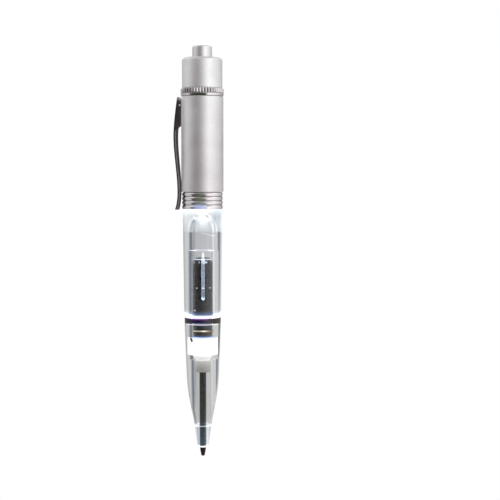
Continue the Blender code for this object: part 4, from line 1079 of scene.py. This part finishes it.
def refillTint(at):
    # painted sheen: a little paler towards the nose
    return ramp(at.height, over(noseTop, [
        (0, (0.085, 0.094, 0.105)), (8, (0.058, 0.063, 0.070)), (16, (0.012, 0.013, 0.014))]))


def makeRefill():
    f = named(refillShape)
    radius, low, top = span("refill_tube")
    shell = tube(f.bore, radius - f.drawn, low, top, f.rounds, f.steps)
    finish = plastic("darkRefill", refillTint, smear(300, 0.22, 0.45), 0.6)
    addPiece("refillTube", shell, finish, "refill", "refill_tube")
    radius, low, top = span("ink_column")
    column = tube(0, radius, low, top, f.inkRounds, f.inkSteps)
    finish = plastic("wetInk", (0.010, 0.010, 0.012), smear(400, 0.05, 0.15), 0.4)
    addPiece("inkColumn", column, finish, "refill", "ink_column")


def makeRefillTip():
    t = named(tipShape)
    low, top = span("refill_tip")[1:]
    outline = stepped((t.ballSeat, t.seatTop, low), (t.rim, low), (t.radius, t.coneTop, t.shankFoot),
                      (t.shank, t.shankFoot, top), (t.channel, top, t.seatTop))
    finish = metal("bronzedTip", (0.024, 0.009, 0.008), grain(3000, 3, 0.4, 0.36, 0.1), 0.1, 0.5)
    addPiece("refillTip", lathe(outline, t.rounds, t.steps), finish, "refill", "refill_tip")
    low, top = span("tip_ball")[1:]
    ball = bmesh.new()
    addBall(ball, (top - low) / 2, (0, 0, (low + top) / 2), t.ballSegments, t.ballRings)
    finish = metal("hardBall", (0.35, 0.35, 0.36), grain(6000, 1, 0.2, 0.14, 0.06))
    addPiece("tipBall", ball, finish, "refill", "tip_ball")


# lamp
lampShape = {"radius": 2.4, "flangeFoot": span("light_guide")[2] + seat, "domeSteps": 16, "steps": 64}


def lampGlow(at):
    return ramp(at.height, [(pocketFloor, 1), (pocketFloor + 3, 1), (guideTop + 5, 0.5)])


def makeLamp():
    flange, low, top = span("led_lamp")
    radius, foot = lampShape["radius"], lampShape["flangeFoot"]
    dome = [(radius * sin(a), low + radius * (1 - cos(a))) for a in quarterTurn(lampShape["domeSteps"])]
    bm = lathe([*dome, (radius, foot), (flange, foot), (flange, top), (0, top)], {}, lampShape["steps"])
    finish = plastic("litLampEpoxy", (0.9, 0.95, 1.0), smear(300, 0.08, 0.2), 0.05, 0.5, lampGlow)
    addPiece("ledLamp", bm, finish, "main_barrel", "led_lamp")


# springs: round wire wound up from a flat end coil
springShapes = {
    "button_spring": {"piece": "buttonSpring", "body": "switch_pack", "foot": 2.5, "head": 2.5, "turns": 3,
                      "pressed": 1.5},
    "tail_spring": {"piece": "tailSpring", "body": "switch_pack", "foot": 2.2, "head": 2.2, "turns": 2.5},
    "led_contact_spring": {"piece": "lampSpring", "body": "main_barrel", "foot": 3.6, "head": 2.2,
                           "turns": 2.5},
}
springWire = {"radius": 0.18, "sides": 12, "stepsEach": 48}


def makeSprings():
    wire = springWire["radius"]
    for node, shape in springShapes.items():
        low, top = span(node)[1:]
        bm = bmesh.new()
        bmesh.ops.create_circle(bm, cap_ends=True, radius=wire * mm, segments=springWire["sides"])
        turn(bm, 90, "X")
        shift(bm, (shape["foot"], 0, low + wire), bm.verts)
        wind(bm, shape["turns"], top - low - 2 * wire, springWire["stepsEach"])
        if shape["head"] != shape["foot"]:
            # drawn in towards the head
            for corner in bm.verts:
                share = (corner.co.z / mm - low) / (top - low)
                out = corner.co.xy.length
                corner.co.xy *= (out - (shape["foot"] - shape["head"]) * mm * share) / out
        spring = addPiece(shape["piece"], tidyMesh(bm), springSteel, shape["body"], node)
        if "pressed" in shape:
            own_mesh(spring)


for make in (makePushButton, makeTailCap, makeCapThread, makeKnurledRing, makeUpperBarrel, makePocketClip,
             makeClipRivets, makeGroovedRing, makeLightGuide, makeHousingRings, makeTwistHousing,
             makeHousingStuds, makeCamCollar, makeTwistDriver, makeBushMark, makeFrontCone, makeRefill,
             makeRefillTip, makeLamp, makeSprings):
    make()
    print("made: " + make.__name__[4:])


# nodes that keep their shape take a finish
carriedFinishes = {
    "switch_plunger": plainAcetal, "switch_retainer": brass, "switch_housing": blackGloss,
    "switch_contact": brass, "battery_lower": cellCase, "battery_middle": cellCase,
    "battery_upper": cellCase, "battery_sleeve": insulator, "led_holder": plainAcetal,
    "led_board": circuitBoard, "led_anode_lead": tinnedLead, "led_cathode_lead": tinnedLead,
    "twist_cam": dullBrass, "refill_carrier": blackGloss, "drive_pin": dullBrass,
}
for node, finish in carriedFinishes.items():
    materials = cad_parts[node].data.materials
    materials.clear()
    materials.append(finish)
print("carried nodes: %d" % len(carriedFinishes))
print("finishes: %d" % len(bpy.data.materials))


# studio: levels by turn round the pen, as its metal sees them at eye height, above, below and steeply, and
# as clear pieces see them; the turn is 0 towards the camera and grows to the right
studioRound = {
    "metal": ((-180, 0.44), (-150, 0.36), (-115, 0.42), (-85, 0.52), (-60, 0.29), (-45, (0.13, 0.10, 0.115)),
              (-30, (0.07, 0.03, 0.05)), (-15, (0.11, 0.075, 0.095)), (0, 0.32), (15, 0.70), (25, 0.92),
              (38, 1.18), (52, 1.05), (70, 0.85), (95, 0.68), (125, 0.48), (150, 0.33), (168, 0.36),
              (180, 0.44)),
    "below": ((-180, 0.5), (-82, 0.6), (-66, (0.06, 0.05, 0.055)), (-40, (0.05, 0.06, 0.035)),
              (20, (0.05, 0.06, 0.04)), (40, 1.1), (90, 0.9), (130, (0.55, 0.55, 0.5)), (180, 0.5)),
    "above": ((-180, 0.7), (-70, 0.8), (-45, 0.35), (5, 0.35), (20, 1.2), (90, 1.2), (130, 0.8), (180, 0.7)),
    "clear": ((-180, 0.72), (-162, 0.66), (-154, 0.52), (-147, (0.36, 0.40, 0.44)),
              (-139, (0.27, 0.30, 0.33)), (-131, (0.19, 0.222, 0.255)), (-125, (0.15, 0.18, 0.21)),
              (-120, (0.16, 0.19, 0.22)), (-114, (0.18, 0.21, 0.24)), (-108, 0.30), (-104, 0.60), (-99, 1.0),
              (-85, 0.85), (-60, 0.48), (-30, 0.34), (0, 0.40), (25, 0.46), (45, 0.62), (75, 0.62),
              (100, 0.58), (120, 0.62), (135, 0.70), (180, 0.70)),
    "steep": ((-180, 0.5), (-110, 0.36), (-80, 0.30), (-60, (0.29, 0.28, 0.25)), (-48, (0.24, 0.275, 0.21)),
              (14, (0.25, 0.29, 0.22)), (30, 0.48), (80, 0.55), (110, (0.5, 0.5, 0.43)), (180, 0.5)),
}
studioRises = ((-90, 0.8), (-20, 1.0), (0, 1.0), (45, 0.9), (90, 0.9))
studio = {"below": (-8, -30), "above": (12, 40), "steep": (42, 54), "diffuse": 0.95, "floorHeight": -60,
          "floorRadius": 75, "floorSides": 96, "floorTone": 0.9, "floorRough": 0.8, "floorGlow": 0.6}


def addWorld():
    world = bpy.data.worlds.new("studio")
    bpy.context.scene.world = world
    world.use_nodes = True
    tree = world.node_tree
    tree.nodes.clear()
    towards = addNode(tree, "ShaderNodeTexCoord").outputs["Generated"]
    parts = addNode(tree, "ShaderNodeSeparateXYZ", {"Vector": towards}).outputs
    sideways = calculate("ARCTAN2", parts["X"], calculate("MULTIPLY", parts["Y"], -1.0))
    rise = calculate("ARCSINE", parts["Z"])
    tilt = calculate("ABSOLUTE", rise)
    degree = radians(1)
    around = {name: ramp(sideways, levels, degree) for name, levels in studioRound.items()}
    onMetal = around["metal"]
    for name, angle in (("below", rise), ("above", rise), ("steep", tilt)):
        onMetal = mix(fade(angle, *studio[name], degree), onMetal, around[name])
    rays = addNode(tree, "ShaderNodeLightPath").outputs
    through = mix(rays["Is Transmission Ray"], onMetal, around["clear"])

    def background(colour):
        return addNode(tree, "ShaderNodeBackground", {"Color": colour, "Strength": 1.0}).outputs[0]

    shown = background(times(through, ramp(rise, studioRises, degree)))
    mirrored = calculate("MAXIMUM", rays["Is Glossy Ray"], rays["Is Transmission Ray"])
    indirect = mixShaders(mirrored, background(opaque(studio["diffuse"])), shown)
    both = mixShaders(rays["Is Camera Ray"], indirect, background(opaque(1)))
    addNode(tree, "ShaderNodeOutputWorld", {"Surface": both})


def addFloor():
    s = named(studio)
    material, tree, shader = startMaterial("paleFloor")
    feed(tree, shader, {"Base Color": opaque(s.floorTone), "Roughness": s.floorRough})
    glow = addNode(tree, "ShaderNodeEmission", {"Color": opaque(1), "Strength": 1.0}).outputs[0]
    rays = addNode(tree, "ShaderNodeLightPath").outputs
    seen = calculate("MAXIMUM", rays["Is Camera Ray"], rays["Is Glossy Ray"])
    seen = calculate("MAXIMUM", seen, rays["Is Transmission Ray"])
    share = calculate("MULTIPLY", seen, s.floorGlow)
    surface = mixShaders(share, shader.outputs[0], glow)
    feed(tree, tree.nodes["Material Output"], {"Surface": surface})
    bm = bmesh.new()
    bmesh.ops.create_circle(bm, cap_ends=True, radius=s.floorRadius * mm, segments=s.floorSides)
    shift(bm, (0, 0, s.floorHeight), bm.verts)
    floor = asObject("paleFloor", bm)
    floor.data.materials.append(material)


addWorld()
addFloor()
bpy.context.scene.view_settings.view_transform = "Standard"
print("studio: world and floor")
